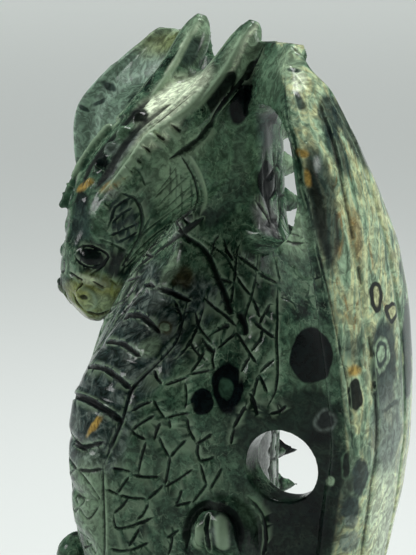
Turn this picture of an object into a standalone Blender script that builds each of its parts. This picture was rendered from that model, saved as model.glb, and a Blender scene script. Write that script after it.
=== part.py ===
"""A winged dragon carved from one block of green jasper, seated on a low rocky base of the same stone.

Metres, +Z up. X is the dragon's own left and -Y its front. The origin is the middle of the underside.
The figure is laid out on a grid of 225 steps to its height. The base, the drilled holes and the wings'
thickness have sizes of their own.
"""

import math

import bmesh
import bpy
import numpy as np
from mathutils import Matrix, Vector

# Driving dimensions
HEIGHT = 0.225  # underside to horn tips
BASE_WIDTH = 0.110
BASE_DEPTH = 0.100
BASE_HEIGHT = 0.013
HOLE_DIAMETER = 0.0215  # drilled through each lower web
WING_FRONT = 0.0095  # thickness of the wing's leading rib
WING_BACK = 0.0050  # thickness of the wing's trailing edge
GROOVE_WIDTH = 0.0020  # the two long cuts down each wing
GROOVE_DEPTH = 0.0012

# The figure's own grid
STEPS = 225
GRID = HEIGHT / STEPS
VOXEL = 0.9 * GRID  # size of the cells that fuse the blanks
KEEP_SHARE = 0.024  # of the fused mesh's triangles
SINK = 6  # how far the blanks reach below the flat underside, in grid steps
BASE_CENTRE_Y = -4  # in grid steps

# Jasper
STONE_COLOUR = (0.115, 0.165, 0.105, 1)
STONE_ROUGHNESS = 0.16

# Trunk and neck, as level sections. Each row is a height, then Y at the front, half-width of the belly
# band and Y at its edge, X and Y of the flank, X and Y of the rear side, and Y at the back.
TRUNK = (
    (-6, -24, 12, -23, 40, -2, 34, 26, 38),
    (14, -24, 12, -23, 40, -2, 33, 27, 39),
    (35, -28, 12, -26, 40, -4, 30, 27, 38),
    (55, -32, 10.5, -30, 39.5, -6, 25, 24, 34.5),
    (72, -35, 9.5, -33.5, 39, -8, 19, 20, 31),
    (88, -36.5, 10.5, -34.8, 39, -8.5, 17, 19, 30),
    (104, -36, 13, -33.5, 39, -9.5, 17, 19.5, 31),
    (114, -33, 14.5, -30.5, 39, -10.5, 17, 21, 32.5),
    (122, -27.5, 14.8, -25, 38, -10, 17.5, 23, 34),
    (130, -21, 14.8, -18.5, 37, -8, 18, 25, 35),
    (137, -15.5, 13, -13, 35, -5, 18, 27, 36),
    (144, -10.5, 11, -8.2, 32, -2, 18, 28.5, 36.5),
    (151, -6.5, 8, -4.8, 27.5, 1.5, 16, 26.5, 34.5),
    (158, -3.5, 7, -1.5, 23, 6.5, 14.5, 25, 34),
    (168, -3, 8, -1.5, 19.5, 11, 12.5, 22.5, 33),
    (180, -5, 9, -3, 18, 11, 12, 21.5, 32.5),
    (194, -5, 9, -3, 18, 11, 12, 20.5, 31.5),
    (204, -1, 9, 1, 17, 10, 11, 19.5, 28.5),
    (209, 5.5, 5.5, 6.5, 9, 11.5, 7.5, 18, 24),
)

# Wing. Each row is a height, then X and Y of the leading edge and of the trailing edge.
WING = (
    (219.5, 33, 11, 39, 10.5),
    (217, 39, 8, 44, 10.5),
    (213, 45, 4.4, 47.5, 12.5),
    (208, 52.5, 2, 50, 17),
    (202.5, 59, -0.8, 50.5, 20.5),
    (197.5, 64.4, -2.3, 50.5, 23.5),
    (192, 68.4, -3.1, 50.5, 27),
    (184, 70.9, -3, 49.5, 32),
    (174, 72.2, -1.6, 48, 38),
    (159, 72.2, 2.7, 45.5, 46),
    (137, 72, 7, 43.5, 51.5),
    (117, 73.2, 9, 42.5, 53.2),
    (106, 72.5, 9.8, 42.3, 53),
    (96, 69, 10.3, 42.2, 52),
    (85, 65, 11.5, 42.2, 50),
    (68, 59.5, 13.5, 42.3, 45),
    (50, 53.5, 19, 43, 38.5),
    (36, 49, 26, 44.5, 33),
)
WING_BULGE = 3.5  # how far the middle of the wing stands out from its chord

WING_THINNING = ((150, 200), (1, 0.65))  # heights, and the share of the full thickness there
WING_POINTS = 18  # on each face of a section
WING_ROUND = 6.0  # how square the section's ends are

# Where the two long cuts lie, as shares of the chord from the leading edge, by height
CUTS = (
    (219.5, 0.46, 0.80),
    (200, 0.37, 0.78),
    (180, 0.31, 0.74),
    (160, 0.25, 0.66),
    (100, 0.25, 0.67),
    (80, 0.27, 0.75),
    (36, 0.30, 0.80),
)

# Web between trunk and wing. Each row is a height, then X and Y of its front where it leaves the trunk,
# X and Y of its front half-way to the wing, and its thickness.
WEB = (
    (219, 19, 13, 26, 12.5, 3.5),
    (212, 15, 11, 29, 8, 4.5),
    (202, 13, 9.5, 34, 4.5, 10),
    (185, 14, 9, 40, 2, 11),
    (165, 15, 7, 42, 0.5, 12),
    (150, 19, -1.5, 46, 2.5, 11),
    (135, 25, -9.5, 50, 0.5, 12),
    (117, 28, -18.8, 52, -1.2, 12),
    (100, 28, -20, 52, 0.5, 12),
    (80, 28, -19.5, 50, 2, 12),
    (62, 28, -18, 47, 3, 11),
    (48, 28, -10, 43, 8, 10),
)
# How far the web ends behind the wing's leading edge, by height
WEB_END = ((208, 216), (3.5, -2))
WINDOW_MIDDLE = (34, 8, 181.5)
WINDOW_HALF_WIDTH = 25
WINDOW_HALF_HEIGHT = 21
HOLE_MIDDLE = (50, 2.9, 101.8)
HOLE_TURN = math.radians(36)  # of the drill's line from straight back, towards the spine

# Head, as sections across its line from nape to snout. Each row is a distance along the line, then
# the top, the bottom, the half-width at the brow and the half-width at the jaw, across the line.
HEAD_START = (0, 8, 190)
HEAD_END = (0, -38, 148)
HEAD = (
    (-14, 9, -16, 8, 9),
    (-7, 15.5, -16, 12, 13),
    (4, 19.5, -15, 14, 15.5),
    (14, 21.3, -12, 14, 16),
    (24, 21.5, -8, 13.5, 15.5),
    (33, 20.2, -6.5, 13.3, 14.5),
    (40, 18.2, -6.5, 12.8, 13.8),
    (46, 15.6, -7, 11.4, 13),
    (51, 12.6, -8.3, 8.8, 11.6),
    (56, 9.8, -10, 7.4, 10.2),
    (60.5, 5.8, -11.5, 7.4, 8.8),
    (64, 2.2, -11.8, 6, 6.6),
    (66, -1.5, -9.5, 3, 3.2),
)
CREST = ((14, 22.6), (20.5, 23.2), (26.5, 22.6), (32, 21.6), (37, 19.8), (42, 17.2))
CREST_RADIUS = 2.6
BROW_START = (21, 19.8, 11.9)
BROW_END = (44, 16.2, 11.5)
BROW_BEADS = 8
BEAD_RADIUS = 2.1

# Horn, as points on its middle line with the radius at each.
HORN = (
    (9.5, -15, 192.5, 4.8),
    (11, -8, 197, 5.8),
    (12.6, -1, 203, 5.9),
    (13.8, 5.2, 210, 5.4),
    (14.7, 9.8, 217, 4.7),
    (15.1, 12, 222, 3.3),
    (15.2, 12.9, 224.9, 1.5),
)

# Ridge of spikes down the back of the neck and the spine
SPIKE_TOP = 203
SPIKE_BOTTOM = 46
SPIKE_PITCH = 11.2
SPIKE_REACH = 9
SPIKE_DROP = 2.5

# Belly plates: the heights of the joints between them, how far they stand out, and how a plate is rounded,
# as pairs of its height's share and the share of that step
PLATE_JOINTS = (151, 142.5, 134.5, 126, 115.5, 101, 86, 72)
PLATE_STEP = 2.1
PLATE_ROUND = ((0.0, 0.15), (0.1, 0.8), (0.35, 1.0), (0.75, 0.9), (1.0, 0.3))

# Fist at the flank, leg, foot and tail
FIST_MIDDLE = (38, -9, 81.5)
FIST_RADIUS = 9.3
ARM = ((33, 12, 52, 9), (35, 4, 64, 8.5), (37, -4, 74, 8.5), (38, -8, 80, 8.5))
HAUNCH = ((33, 13, 33), (17, 20, 20))
THIGH = ((34, 14, 34, 19), (34, 0, 38, 17), (30, -13, 47, 12.5), (24.5, -23, 55, 9), (22, -26.5, 58, 7.6))
KNEE = ((21.5, -26.5, 58.5), 8)
SHIN = ((22, -26.5, 58, 7.6), (25, -29, 44, 7), (28, -31, 30, 7), (29, -34, 18, 7))
FOOT_MIDDLE = (29, -37, 16)
TOES = 3
TOE_FAN = math.radians(24)
TOE_LENGTH = 13
TOE_RADIUS = 3.9
TAIL = (
    (0, 34, 30, 13),
    (-16, 40, 23, 11),
    (-34, 35, 19.5, 9.5),
    (-47, 18, 18, 8.2),
    (-50, -4, 17, 7),
    (-46, -26, 16.5, 5.8),
    (-33, -44, 16, 4.8),
    (-14, -50, 15.5, 3.8),
    (2, -50, 15.5, 2.6),
    (10, -47.5, 16.5, 1.4),
)


def clear_scene():
    for item in list(bpy.data.objects):
        bpy.data.objects.remove(item, do_unlink=True)


def new_collection(name, in_render=True):
    made = bpy.data.collections.new(name)
    bpy.context.scene.collection.children.link(made)
    made.hide_render = not in_render
    return made


def refine(rows, steps):
    """Rows on a smooth curve through the given rows, `steps` for each stretch."""
    rows = np.array(rows, float)
    ends = np.vstack([2 * rows[0] - rows[1], rows, 2 * rows[-1] - rows[-2]])
    found = []
    for k in range(1, len(ends) - 2):
        found += smooth_stretch(ends[k - 1 : k + 3], steps)
    found.append(rows[-1])
    return np.array(found)


def refine_ring(points, steps):
    """Points on a smooth closed curve through the given points."""
    points = np.array(points, float)
    found = []
    for k in range(len(points)):
        around = [points[(k + j) % len(points)] for j in (-1, 0, 1, 2)]
        found += smooth_stretch(around, steps)
    return np.array(found)


def smooth_stretch(around, steps):
    """Catmull-Rom points from the second of four rows up to the third."""
    before, start, end, after = around
    found = []
    for t in np.linspace(0, 1, steps, endpoint=False):
        straight = 2 * start + (end - before) * t
        bend = (2 * before - 5 * start + 4 * end - after) * t**2
        twist = (3 * start - before - 3 * end + after) * t**3
        found.append((straight + bend + twist) / 2)
    return found


def mesh_object(name, points, faces, collection):
    """A closed mesh from points on the grid and faces, with its normals outward."""
    mesh = bpy.data.meshes.new(name)
    mesh.from_pydata([Vector(p) * GRID for p in points], [], faces)
    shape = bmesh.new()
    shape.from_mesh(mesh)
    bmesh.ops.recalc_face_normals(shape, faces=shape.faces)
    if shape.calc_volume(signed=True) < 0:
        bmesh.ops.reverse_faces(shape, faces=shape.faces)
    shape.to_mesh(mesh)
    shape.free()
    made = bpy.data.objects.new(name, mesh)
    collection.objects.link(made)
    return made


def loft(name, rings, collection):
    """A closed skin over rings of equally many points, capped at both ends."""
    count = len(rings[0])
    points = [p for ring in rings for p in ring]
    faces = []
    for row in range(len(rings) - 1):
        for k in range(count):
            here, there = row * count, (row + 1) * count
            after = (k + 1) % count
            faces.append((here + k, here + after, there + after, there + k))
    faces.append(tuple(reversed(range(count))))
    faces.append(tuple(range(len(points) - count, len(points))))
    return mesh_object(name, points, faces, collection)


def mirrored(points):
    """The same places on the dragon's other side."""
    return [(-p[0], *p[1:]) for p in points]


def ball(name, middle, radii, collection, turn=None):
    """An ellipsoid on the grid."""
    mesh = bpy.data.meshes.new(name)
    shape = bmesh.new()
    bmesh.ops.create_uvsphere(shape, u_segments=24, v_segments=14, radius=1)
    size = Matrix.Diagonal(Vector((*radii, 1)))
    place = Matrix.Translation(Vector(middle) * GRID)
    scale = Matrix.Scale(GRID, 4)
    bmesh.ops.transform(shape, matrix=place @ scale @ (turn or Matrix()) @ size, verts=shape.verts)
    shape.to_mesh(mesh)
    shape.free()
    made = bpy.data.objects.new(name, mesh)
    collection.objects.link(made)
    return made


def tapered_tube(name, points, collection):
    """A round bar through points on the grid, each with its own radius, as a mesh."""
    curve = bpy.data.curves.new(name, "CURVE")
    curve.dimensions = "3D"
    curve.bevel_depth = GRID
    curve.bevel_resolution = 4
    curve.use_fill_caps = True
    line = curve.splines.new("POLY")
    rows = refine(points, 4)
    line.points.add(len(rows) - 1)
    for point, (x, y, z, radius) in zip(line.points, rows):
        point.co = (x * GRID, y * GRID, z * GRID, 1)
        point.radius = max(radius, 0.4)
    guide = bpy.data.objects.new(name + "_guide", curve)
    collection.objects.link(guide)
    graph = bpy.context.evaluated_depsgraph_get()
    mesh = bpy.data.meshes.new_from_object(guide.evaluated_get(graph))
    bpy.data.objects.remove(guide)
    bpy.data.curves.remove(curve)
    shape = bmesh.new()
    shape.from_mesh(mesh)
    bmesh.ops.remove_doubles(shape, verts=shape.verts, dist=1e-6)
    bmesh.ops.recalc_face_normals(shape, faces=shape.faces)
    shape.to_mesh(mesh)
    shape.free()
    made = bpy.data.objects.new(name, mesh)
    collection.objects.link(made)
    return made


def trunk_blank(collection):
    rings = []
    for z, front, band, band_y, flank_x, flank_y, rear_x, rear_y, back in refine(TRUNK, 3):
        half = [(band, band_y), ((band + flank_x) / 2, (band_y + flank_y) / 2 - 1.5), (flank_x, flank_y)]
        half += [((flank_x + rear_x) / 2 + 1.5, (flank_y + rear_y) / 2), (rear_x, rear_y)]
        other = [(-x, y) for x, y in reversed(half)]
        outline = refine_ring([(0, front), *half, (0, back), *other], 4)
        rings.append([(x, y, z) for x, y in outline])
    return loft("trunk", rings, collection)


def cuts_at(z):
    """Shares of the chord where the two long cuts lie at a height."""
    rows = np.array(sorted(CUTS))
    return [np.interp(z, rows[:, 0], rows[:, column]) for column in (1, 2)]


def wing_rings(side):
    """Level sections of a wing: a blunt nose at the leading rib, thinning to the trailing edge."""
    front_half = WING_FRONT / GRID / 2
    back_half = WING_BACK / GRID / 2
    cut_half = GROOVE_WIDTH / GRID / 2
    rings = []
    for z, lead_x, lead_y, trail_x, trail_y in refine(WING, 3):
        lead = np.array((lead_x, lead_y))
        chord = np.array((trail_x, trail_y)) - lead
        length = np.hypot(*chord)
        along = chord / length
        out = np.array((along[1], -along[0]))
        fullness = min(1, length / 25)
        thickness = np.interp(z, *WING_THINNING) * (0.6 + 0.4 * fullness)
        middles = cuts_at(z)
        shares = [(1 - math.cos(turn)) / 2 for turn in np.linspace(0, math.pi, WING_POINTS)]
        edges = [middle + step * cut_half / length for middle in middles for step in (-1, 0, 1)]
        spots = [(share, 1) for share in sorted(shares + edges)]
        spots += [(share, -1) for share in shares[-2:0:-1]]
        ring = []
        for share, face in spots:
            ends = math.sqrt(max(0, 1 - abs(2 * share - 1) ** WING_ROUND))
            half = (front_half + (back_half - front_half) * share**0.7) * thickness
            bulge = WING_BULGE * fullness * 4 * share * (1 - share)
            near = min(abs(share - middle) for middle in middles) * length / cut_half
            cut_in = max(0, 1 - near) * fullness * GROOVE_DEPTH / GRID if face > 0 else 0
            spot = lead + chord * share + out * (face * ends * half + bulge - half - cut_in)
            ring.append((side * spot[0], spot[1], z))
        rings.append(ring)
    return rings


def lead_at(z):
    """X and Y of the wing's leading edge at a height."""
    rows = np.array(sorted(WING))
    return np.interp(z, rows[:, 0], rows[:, 1]), np.interp(z, rows[:, 0], rows[:, 2])


def web_rings(side):
    """Level sections of the web, from inside the trunk to the wing's leading rib."""
    rings = []
    for z, root_x, root_y, mid_x, mid_y, thick in refine(WEB, 4):
        lead_x, lead_y = lead_at(z)
        end_x = lead_x - np.interp(z, *WEB_END)
        front = [(root_x, root_y), (mid_x, mid_y), (end_x, lead_y + 2.2)]
        back = [(end_x, lead_y + 7), (mid_x, mid_y + thick), (root_x, root_y + thick + 2)]
        outline = [*refine(front, 5), *refine(back, 5)]
        rings.append([(side * x, y, z) for x, y in outline])
    return rings


def window_cutter(side, collection):
    """An oval bar through the web between neck and wing."""
    x, y, z = WINDOW_MIDDLE
    rings = []
    for reach in (-40, 40):
        ring = []
        for angle in np.linspace(0, 2 * math.pi, 36, endpoint=False):
            across = x + WINDOW_HALF_WIDTH * math.cos(angle)
            ring.append((side * across, y + reach, z + WINDOW_HALF_HEIGHT * math.sin(angle)))
        rings.append(ring)
    return as_cutter(loft("window_cutter", rings, collection))


def hole_cutter(side, collection):
    """The drill's round bar through the lower web."""
    mesh = bpy.data.meshes.new("hole_cutter")
    shape = bmesh.new()
    radius = HOLE_DIAMETER / 2
    bmesh.ops.create_cone(shape, cap_ends=True, segments=40, radius1=radius, radius2=radius, depth=60 * GRID)
    shape.to_mesh(mesh)
    shape.free()
    made = bpy.data.objects.new("hole_cutter", mesh)
    collection.objects.link(made)
    x, y, z = HOLE_MIDDLE
    made.location = Vector((side * x, y, z)) * GRID
    made.rotation_euler = (math.radians(90), 0, side * HOLE_TURN)
    return as_cutter(made)


def as_cutter(made):
    made.hide_render = True
    made.display_type = "WIRE"
    return made


def cut(blank, cutter, operation="DIFFERENCE"):
    step = blank.modifiers.new(cutter.name, "BOOLEAN")
    step.object = cutter
    step.operation = operation
    step.solver = "EXACT"


def head_frame():
    """The head's line, and the direction across it to the forehead, both in the plane of symmetry."""
    start = np.array(HEAD_START, float)
    along = np.array(HEAD_END, float) - start
    along /= np.linalg.norm(along)
    across = np.array((0, along[2], -along[1]))
    return start, along, across


def on_head(distance, height, side=0.0):
    """A place on the grid from a distance along the head's line, a height across it and an X."""
    start, along, across = head_frame()
    spot = start + along * distance + across * height
    return (side, spot[1], spot[2])


def head_blank(collection):
    rings = []
    for distance, top, bottom, brow, jaw in refine(HEAD, 3):
        middle = (top + bottom) / 2
        half = [(brow * 0.55, top), (brow, top - 0.12 * (top - bottom)), (jaw, middle)]
        half += [(jaw * 0.86, bottom + 0.2 * (top - bottom)), (jaw * 0.45, bottom + 0.03 * (top - bottom))]
        other = [(-x, h) for x, h in reversed(half)]
        outline = refine_ring([(0, top + 0.4), *half, (0, bottom), *other], 4)
        rings.append([on_head(distance, h, x) for x, h in outline])
    return loft("head", rings, collection)


def face_blanks(side, collection):
    """Brow beads, cheek, eye, nostril wing and lip of one side."""
    made = []
    for k in range(BROW_BEADS):
        share = k / (BROW_BEADS - 1)
        distance, height, x = np.array(BROW_START) * (1 - share) + np.array(BROW_END) * share
        middle = on_head(distance, height, side * x)
        made.append(ball("brow_bead", middle, (BEAD_RADIUS, BEAD_RADIUS, BEAD_RADIUS), collection))
    made.append(ball("cheek", on_head(46, 8, side * 7.6), (4.6, 6.2, 6.2), collection))
    made.append(ball("eye", on_head(54, 6, side * 7), (3, 3.6, 3.2), collection))
    made.append(ball("nostril", on_head(62.3, 0.2, side * 5.6), (3, 2.9, 2.9), collection))
    return made


def crest_blanks(collection):
    made = []
    for distance, height in CREST:
        radii = (CREST_RADIUS * 0.8, CREST_RADIUS, CREST_RADIUS)
        made.append(ball("crest", on_head(distance, height - CREST_RADIUS * 0.6), radii, collection))
    return made


def back_at(z):
    """Y of the trunk's back at a height."""
    rows = np.array(TRUNK)
    return np.interp(z, rows[:, 0], rows[:, -1])


def spike_blanks(collection):
    """Four-sided teeth whose tips lean down the back."""
    made = []
    count = int((SPIKE_TOP - SPIKE_BOTTOM) / SPIKE_PITCH)
    for k in range(count + 1):
        z = SPIKE_TOP - k * SPIKE_PITCH
        root = back_at(z)
        high = (0, back_at(z + SPIKE_PITCH * 0.55) - 3, z + SPIKE_PITCH * 0.55)
        low = (0, back_at(z - SPIKE_PITCH * 0.55) - 3, z - SPIKE_PITCH * 0.55)
        inside = (0, root - 8, z)
        tip = (0, root + SPIKE_REACH, z - SPIKE_DROP)
        points = [(4.5, root - 4, z), (-4.5, root - 4, z), high, low, tip, inside]
        faces = [(4, 2, 0), (4, 0, 3), (4, 3, 1), (4, 1, 2), (5, 0, 2), (5, 3, 0), (5, 1, 3), (5, 2, 1)]
        made.append(mesh_object("spike", points, faces, collection))
    return made


def plate_blanks(collection):
    """Belly plates: a bulged pad for each, with a narrow cleft between one and the next."""
    made = []
    rows = np.array(sorted(TRUNK))
    for top, bottom in zip(PLATE_JOINTS, PLATE_JOINTS[1:]):
        rings = []
        for share, stand in PLATE_ROUND:
            z = top + (bottom - top) * share
            front = np.interp(z, rows[:, 0], rows[:, 1])
            band = np.interp(z, rows[:, 0], rows[:, 2])
            proud = PLATE_STEP * stand
            ring = [(0, front - proud), (band * 0.6, front + 0.6 - proud), (band, front + 2.4 - proud * 0.6)]
            ring += [(band * 0.9, front + 9), (-band * 0.9, front + 9)]
            ring += [(-band, front + 2.4 - proud * 0.6), (-band * 0.6, front + 0.6 - proud)]
            rings.append([(x, y, z) for x, y in ring])
        made.append(loft("plate", rings, collection))
    return made


def limb_blanks(side, collection):
    flip = (lambda rows: rows) if side > 0 else mirrored
    made = [
        tapered_tube("arm", flip(ARM), collection),
        tapered_tube("thigh", flip(THIGH), collection),
        tapered_tube("shin", flip(SHIN), collection),
        tapered_tube("horn", flip(HORN), collection),
    ]
    x, y, z = FIST_MIDDLE
    made.append(ball("fist", (side * x, y, z), (FIST_RADIUS,) * 3, collection))
    for name, ((x, y, z), radii) in (("haunch", HAUNCH), ("knee", (KNEE[0], (KNEE[1],) * 3))):
        made.append(ball(name, (side * x, y, z), radii, collection))
    x, y, z = FOOT_MIDDLE
    made.append(ball("foot", (side * x, y, z), (9.5, 10, 6.5), collection))
    for k in range(TOES):
        turn = (k - (TOES - 1) / 2) * TOE_FAN
        reach = Vector((math.sin(turn), -math.cos(turn), 0)) * TOE_LENGTH
        start = Vector((x, y - 2, z - 1))
        end = start + reach + Vector((0, 0, -1))
        rows = [(*start, TOE_RADIUS), (*(start + reach * 0.6 + Vector((0, 0, 0.8))), TOE_RADIUS * 0.95), (*end, 1.6)]
        made.append(tapered_tube("toe", flip(rows), collection))
    return made


def base_blank(collection):
    """A low rock: an oval with worn corners, narrower at the top, reaching below the underside."""
    rings = []
    low, high = -SINK, BASE_HEIGHT / GRID
    for z, share in ((low, 0.97), (0, 0.97), (high * 0.35, 1.0), (high * 0.75, 0.985), (high, 0.93)):
        ring = []
        for angle in np.linspace(0, 2 * math.pi, 48, endpoint=False):
            wave = 1 - 0.022 * (1 + math.sin(5 * angle + 0.7)) - 0.012 * (1 + math.sin(11 * angle + z * 0.15))
            across = math.copysign(abs(math.cos(angle)) ** 0.85, math.cos(angle))
            along = math.copysign(abs(math.sin(angle)) ** 0.85, math.sin(angle))
            x = across * BASE_WIDTH / GRID / 2 * share * wave
            y = BASE_CENTRE_Y + along * BASE_DEPTH / GRID / 2 * share * wave
            ring.append((x, y, z))
        rings.append(ring)
    return loft("base", rings, collection)


def fused(name, blanks, collection):
    """One mesh object holding the evaluated mesh of every blank; the blanks are removed."""
    graph = bpy.context.evaluated_depsgraph_get()
    shape = bmesh.new()
    for blank in blanks:
        mesh = bpy.data.meshes.new_from_object(blank.evaluated_get(graph))
        mesh.transform(blank.matrix_world)
        shape.from_mesh(mesh)
        bpy.data.meshes.remove(mesh)
    mesh = bpy.data.meshes.new(name)
    shape.to_mesh(mesh)
    shape.free()
    for blank in blanks:
        bpy.data.objects.remove(blank, do_unlink=True)
    made = bpy.data.objects.new(name, mesh)
    collection.objects.link(made)
    return made


def below_cutter(collection):
    """A block under the level that the base rests on."""
    mesh = bpy.data.meshes.new("underside_cutter")
    shape = bmesh.new()
    bmesh.ops.create_cube(shape, size=1)
    shape.to_mesh(mesh)
    shape.free()
    made = bpy.data.objects.new("underside_cutter", mesh)
    collection.objects.link(made)
    depth = 3 * SINK * GRID
    made.scale = (2 * HEIGHT, 2 * HEIGHT, depth)
    made.location = (0, 0, -depth / 2)
    return as_cutter(made)


def stone_material():
    material = bpy.data.materials.new("jasper")
    material.use_nodes = True
    shader = material.node_tree.nodes["Principled BSDF"]
    shader.inputs["Base Color"].default_value = STONE_COLOUR
    shader.inputs["Roughness"].default_value = STONE_ROUGHNESS
    shader.inputs["Metallic"].default_value = 0
    return material


def main():
    clear_scene()
    carving = new_collection("dragon")
    cutters = new_collection("cutters", in_render=False)
    trunk = trunk_blank(carving)
    blanks = [trunk, head_blank(carving), base_blank(carving), tapered_tube("tail", TAIL, carving)]
    for side in (1, -1):
        web = loft("web", web_rings(side), carving)
        cut(web, window_cutter(side, cutters))
        drill = hole_cutter(side, cutters)
        cut(web, drill)
        cut(trunk, drill)
        blanks += [web, loft("wing", wing_rings(side), carving)]
        blanks += face_blanks(side, carving)
        blanks += limb_blanks(side, carving)
    blanks += crest_blanks(carving)
    blanks += spike_blanks(carving)
    blanks += plate_blanks(carving)
    bpy.context.view_layer.update()
    dragon = fused("dragon_carving", blanks, carving)
    dragon.data.materials.append(stone_material())
    fuse = dragon.modifiers.new("fuse", "REMESH")
    fuse.mode = "VOXEL"
    fuse.voxel_size = VOXEL
    soften = dragon.modifiers.new("soften", "SMOOTH")
    soften.factor = 0.5
    soften.iterations = 1
    thin = dragon.modifiers.new("thin", "DECIMATE")
    thin.ratio = KEEP_SHARE
    cut(dragon, below_cutter(cutters))


main()
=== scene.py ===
import itertools
import math

import bmesh
import bpy
import numpy as np
from mathutils import Matrix, Vector
from mathutils.bvhtree import BVHTree
from mathutils.kdtree import KDTree


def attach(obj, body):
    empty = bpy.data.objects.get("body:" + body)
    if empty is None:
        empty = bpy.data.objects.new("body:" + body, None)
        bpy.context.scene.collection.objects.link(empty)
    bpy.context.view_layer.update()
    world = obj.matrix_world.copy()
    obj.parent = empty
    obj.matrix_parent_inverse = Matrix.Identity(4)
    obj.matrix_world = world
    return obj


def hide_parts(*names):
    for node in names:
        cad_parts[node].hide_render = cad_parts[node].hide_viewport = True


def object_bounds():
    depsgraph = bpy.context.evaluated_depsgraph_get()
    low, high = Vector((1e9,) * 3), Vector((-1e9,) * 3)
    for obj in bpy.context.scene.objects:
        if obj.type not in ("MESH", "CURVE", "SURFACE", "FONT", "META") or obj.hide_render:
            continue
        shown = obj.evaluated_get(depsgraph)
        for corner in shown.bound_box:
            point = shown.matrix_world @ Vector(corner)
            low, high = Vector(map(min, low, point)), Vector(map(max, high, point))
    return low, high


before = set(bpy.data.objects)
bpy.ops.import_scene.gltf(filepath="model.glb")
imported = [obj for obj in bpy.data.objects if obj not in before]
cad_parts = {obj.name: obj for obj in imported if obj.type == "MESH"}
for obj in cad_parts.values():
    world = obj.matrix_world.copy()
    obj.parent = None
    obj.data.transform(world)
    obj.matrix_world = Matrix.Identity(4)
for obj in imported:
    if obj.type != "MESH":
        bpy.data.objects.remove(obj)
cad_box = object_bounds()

MM = 0.001
HEIGHT = 225
BASE_WIDTH = 110
BASE_DEPTH = 100
BASE_HEIGHT = 13
BASE_CENTRE_Y = -4
# The base's rings: each a share of its height, and a share of its width and depth there
BASE_RINGS = ((0, 0.97), (0.35, 1.0), (0.75, 0.985), (1, 0.93))
BASE_CORNERS = 0.85  # the power that draws its oval towards a rectangle
HOLE_DIAMETER = 21.5
WING_FRONT = 9.5
WING_BACK = 5.0
GROOVE_WIDTH = 2.0
GROOVE_DEPTH = 1.2

CELL = 0.5  # size of the cells that fuse the blanks
TRIANGLE_LIMIT = 196000
SEED = 7

# The photo's view: its direction, distance and target in millimetres, and a pixel's size at the target
VIEW_AZIMUTH = math.radians(60)
VIEW_ELEVATION = math.radians(11)
VIEW_DISTANCE = 620
VIEW_TARGET = np.array((2.7, 4.68, 147.6))
PHOTO_SIZE = (416, 555)
PIXEL = 0.3
SENSOR = 36

# Trunk and neck, as level sections. Each row is a height, then Y at the front, half-width of the belly
# band and Y at its edge, X and Y of the flank, X and Y of the rear side, and Y at the back.
TRUNK = (
    (0, -24, 12, -23, 40, -2, 34, 26, 38),
    (14, -24, 12, -23, 40, -2, 33, 27, 39),
    (35, -28, 12, -26, 40, -4, 30, 27, 38),
    (55, -32, 10.5, -30, 39.5, -6, 25, 24, 34.5),
    (72, -35, 9.5, -33.5, 39, -8, 19, 20, 31),
    (88, -36.5, 10.5, -34.8, 39, -8.5, 17, 19, 30),
    (104, -36, 13, -33.5, 39, -9.5, 17, 19.5, 31),
    (114, -33, 14.5, -30.5, 39, -10.5, 17, 21, 32.5),
    (122, -27.5, 14.8, -25, 38, -10, 17.5, 23, 34),
    (130, -21, 14.8, -18.5, 37, -8, 18, 25, 35),
    (137, -15.5, 13, -13, 35, -5, 18, 27, 36),
    (144, -10.5, 11, -8.2, 32, -2, 18, 28.5, 36.5),
    (151, -6.5, 8, -4.8, 27.5, 1.5, 16, 26.5, 34.5),
    (158, -3.5, 7, -1.5, 23, 6.5, 14.5, 25, 34),
    (168, -3, 8, -1.5, 19.5, 11, 12.5, 22.5, 33),
    (180, -5, 9, -3, 18, 11, 12, 21.5, 32.5),
    (194, -5, 9, -3, 18, 11, 12, 20.5, 31.5),
    (204, -1, 9, 1, 17, 10, 11, 19.5, 28.5),
    (209, 5.5, 5.5, 6.5, 9, 11.5, 7.5, 18, 24),
)

# Wing. Each row is a height, then X and Y of the leading edge and of the trailing edge.
WING = (
    (219.5, 33, 11, 39, 10.5),
    (217, 39, 8, 44, 10.5),
    (213, 45, 4.4, 47.5, 12.5),
    (208, 52.5, 2, 50, 17),
    (202.5, 59, -0.8, 50.5, 20.5),
    (197.5, 64.4, -2.3, 50.5, 23.5),
    (192, 68.4, -3.1, 50.5, 27),
    (184, 70.9, -3, 49.5, 32),
    (174, 72.2, -1.6, 48, 38),
    (159, 72.2, 2.7, 45.5, 46),
    (137, 72, 7, 43.5, 51.5),
    (117, 73.2, 9, 42.5, 53.2),
    (106, 72.5, 9.8, 42.3, 53),
    (96, 69, 10.3, 42.2, 52),
    (85, 65, 11.5, 42.2, 50),
    (68, 59.5, 13.5, 42.3, 45),
    (50, 53.5, 19, 43, 38.5),
    (36, 49, 26, 44.5, 33),
)
WING_BULGE = 3.5
WING_THINNING = ((150, 200), (1, 0.65))
WING_POINTS = 44
WING_ROUND = 6.0
# Shares of |X| and of Y that together tell how far behind a wing's leading edge a place lies
WING_SLOPE = (0.5, 0.87)

# Where the two long cuts lie, as shares of the chord from the leading edge, by height
CUTS = (
    (219.5, 0.46, 0.80),
    (200, 0.37, 0.78),
    (180, 0.31, 0.74),
    (160, 0.25, 0.66),
    (100, 0.25, 0.67),
    (80, 0.27, 0.75),
    (36, 0.30, 0.80),
)
CUT_STEPS = (-1, -0.5, 0, 0.5, 1)  # points across a cut, as shares of its half-width

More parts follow.
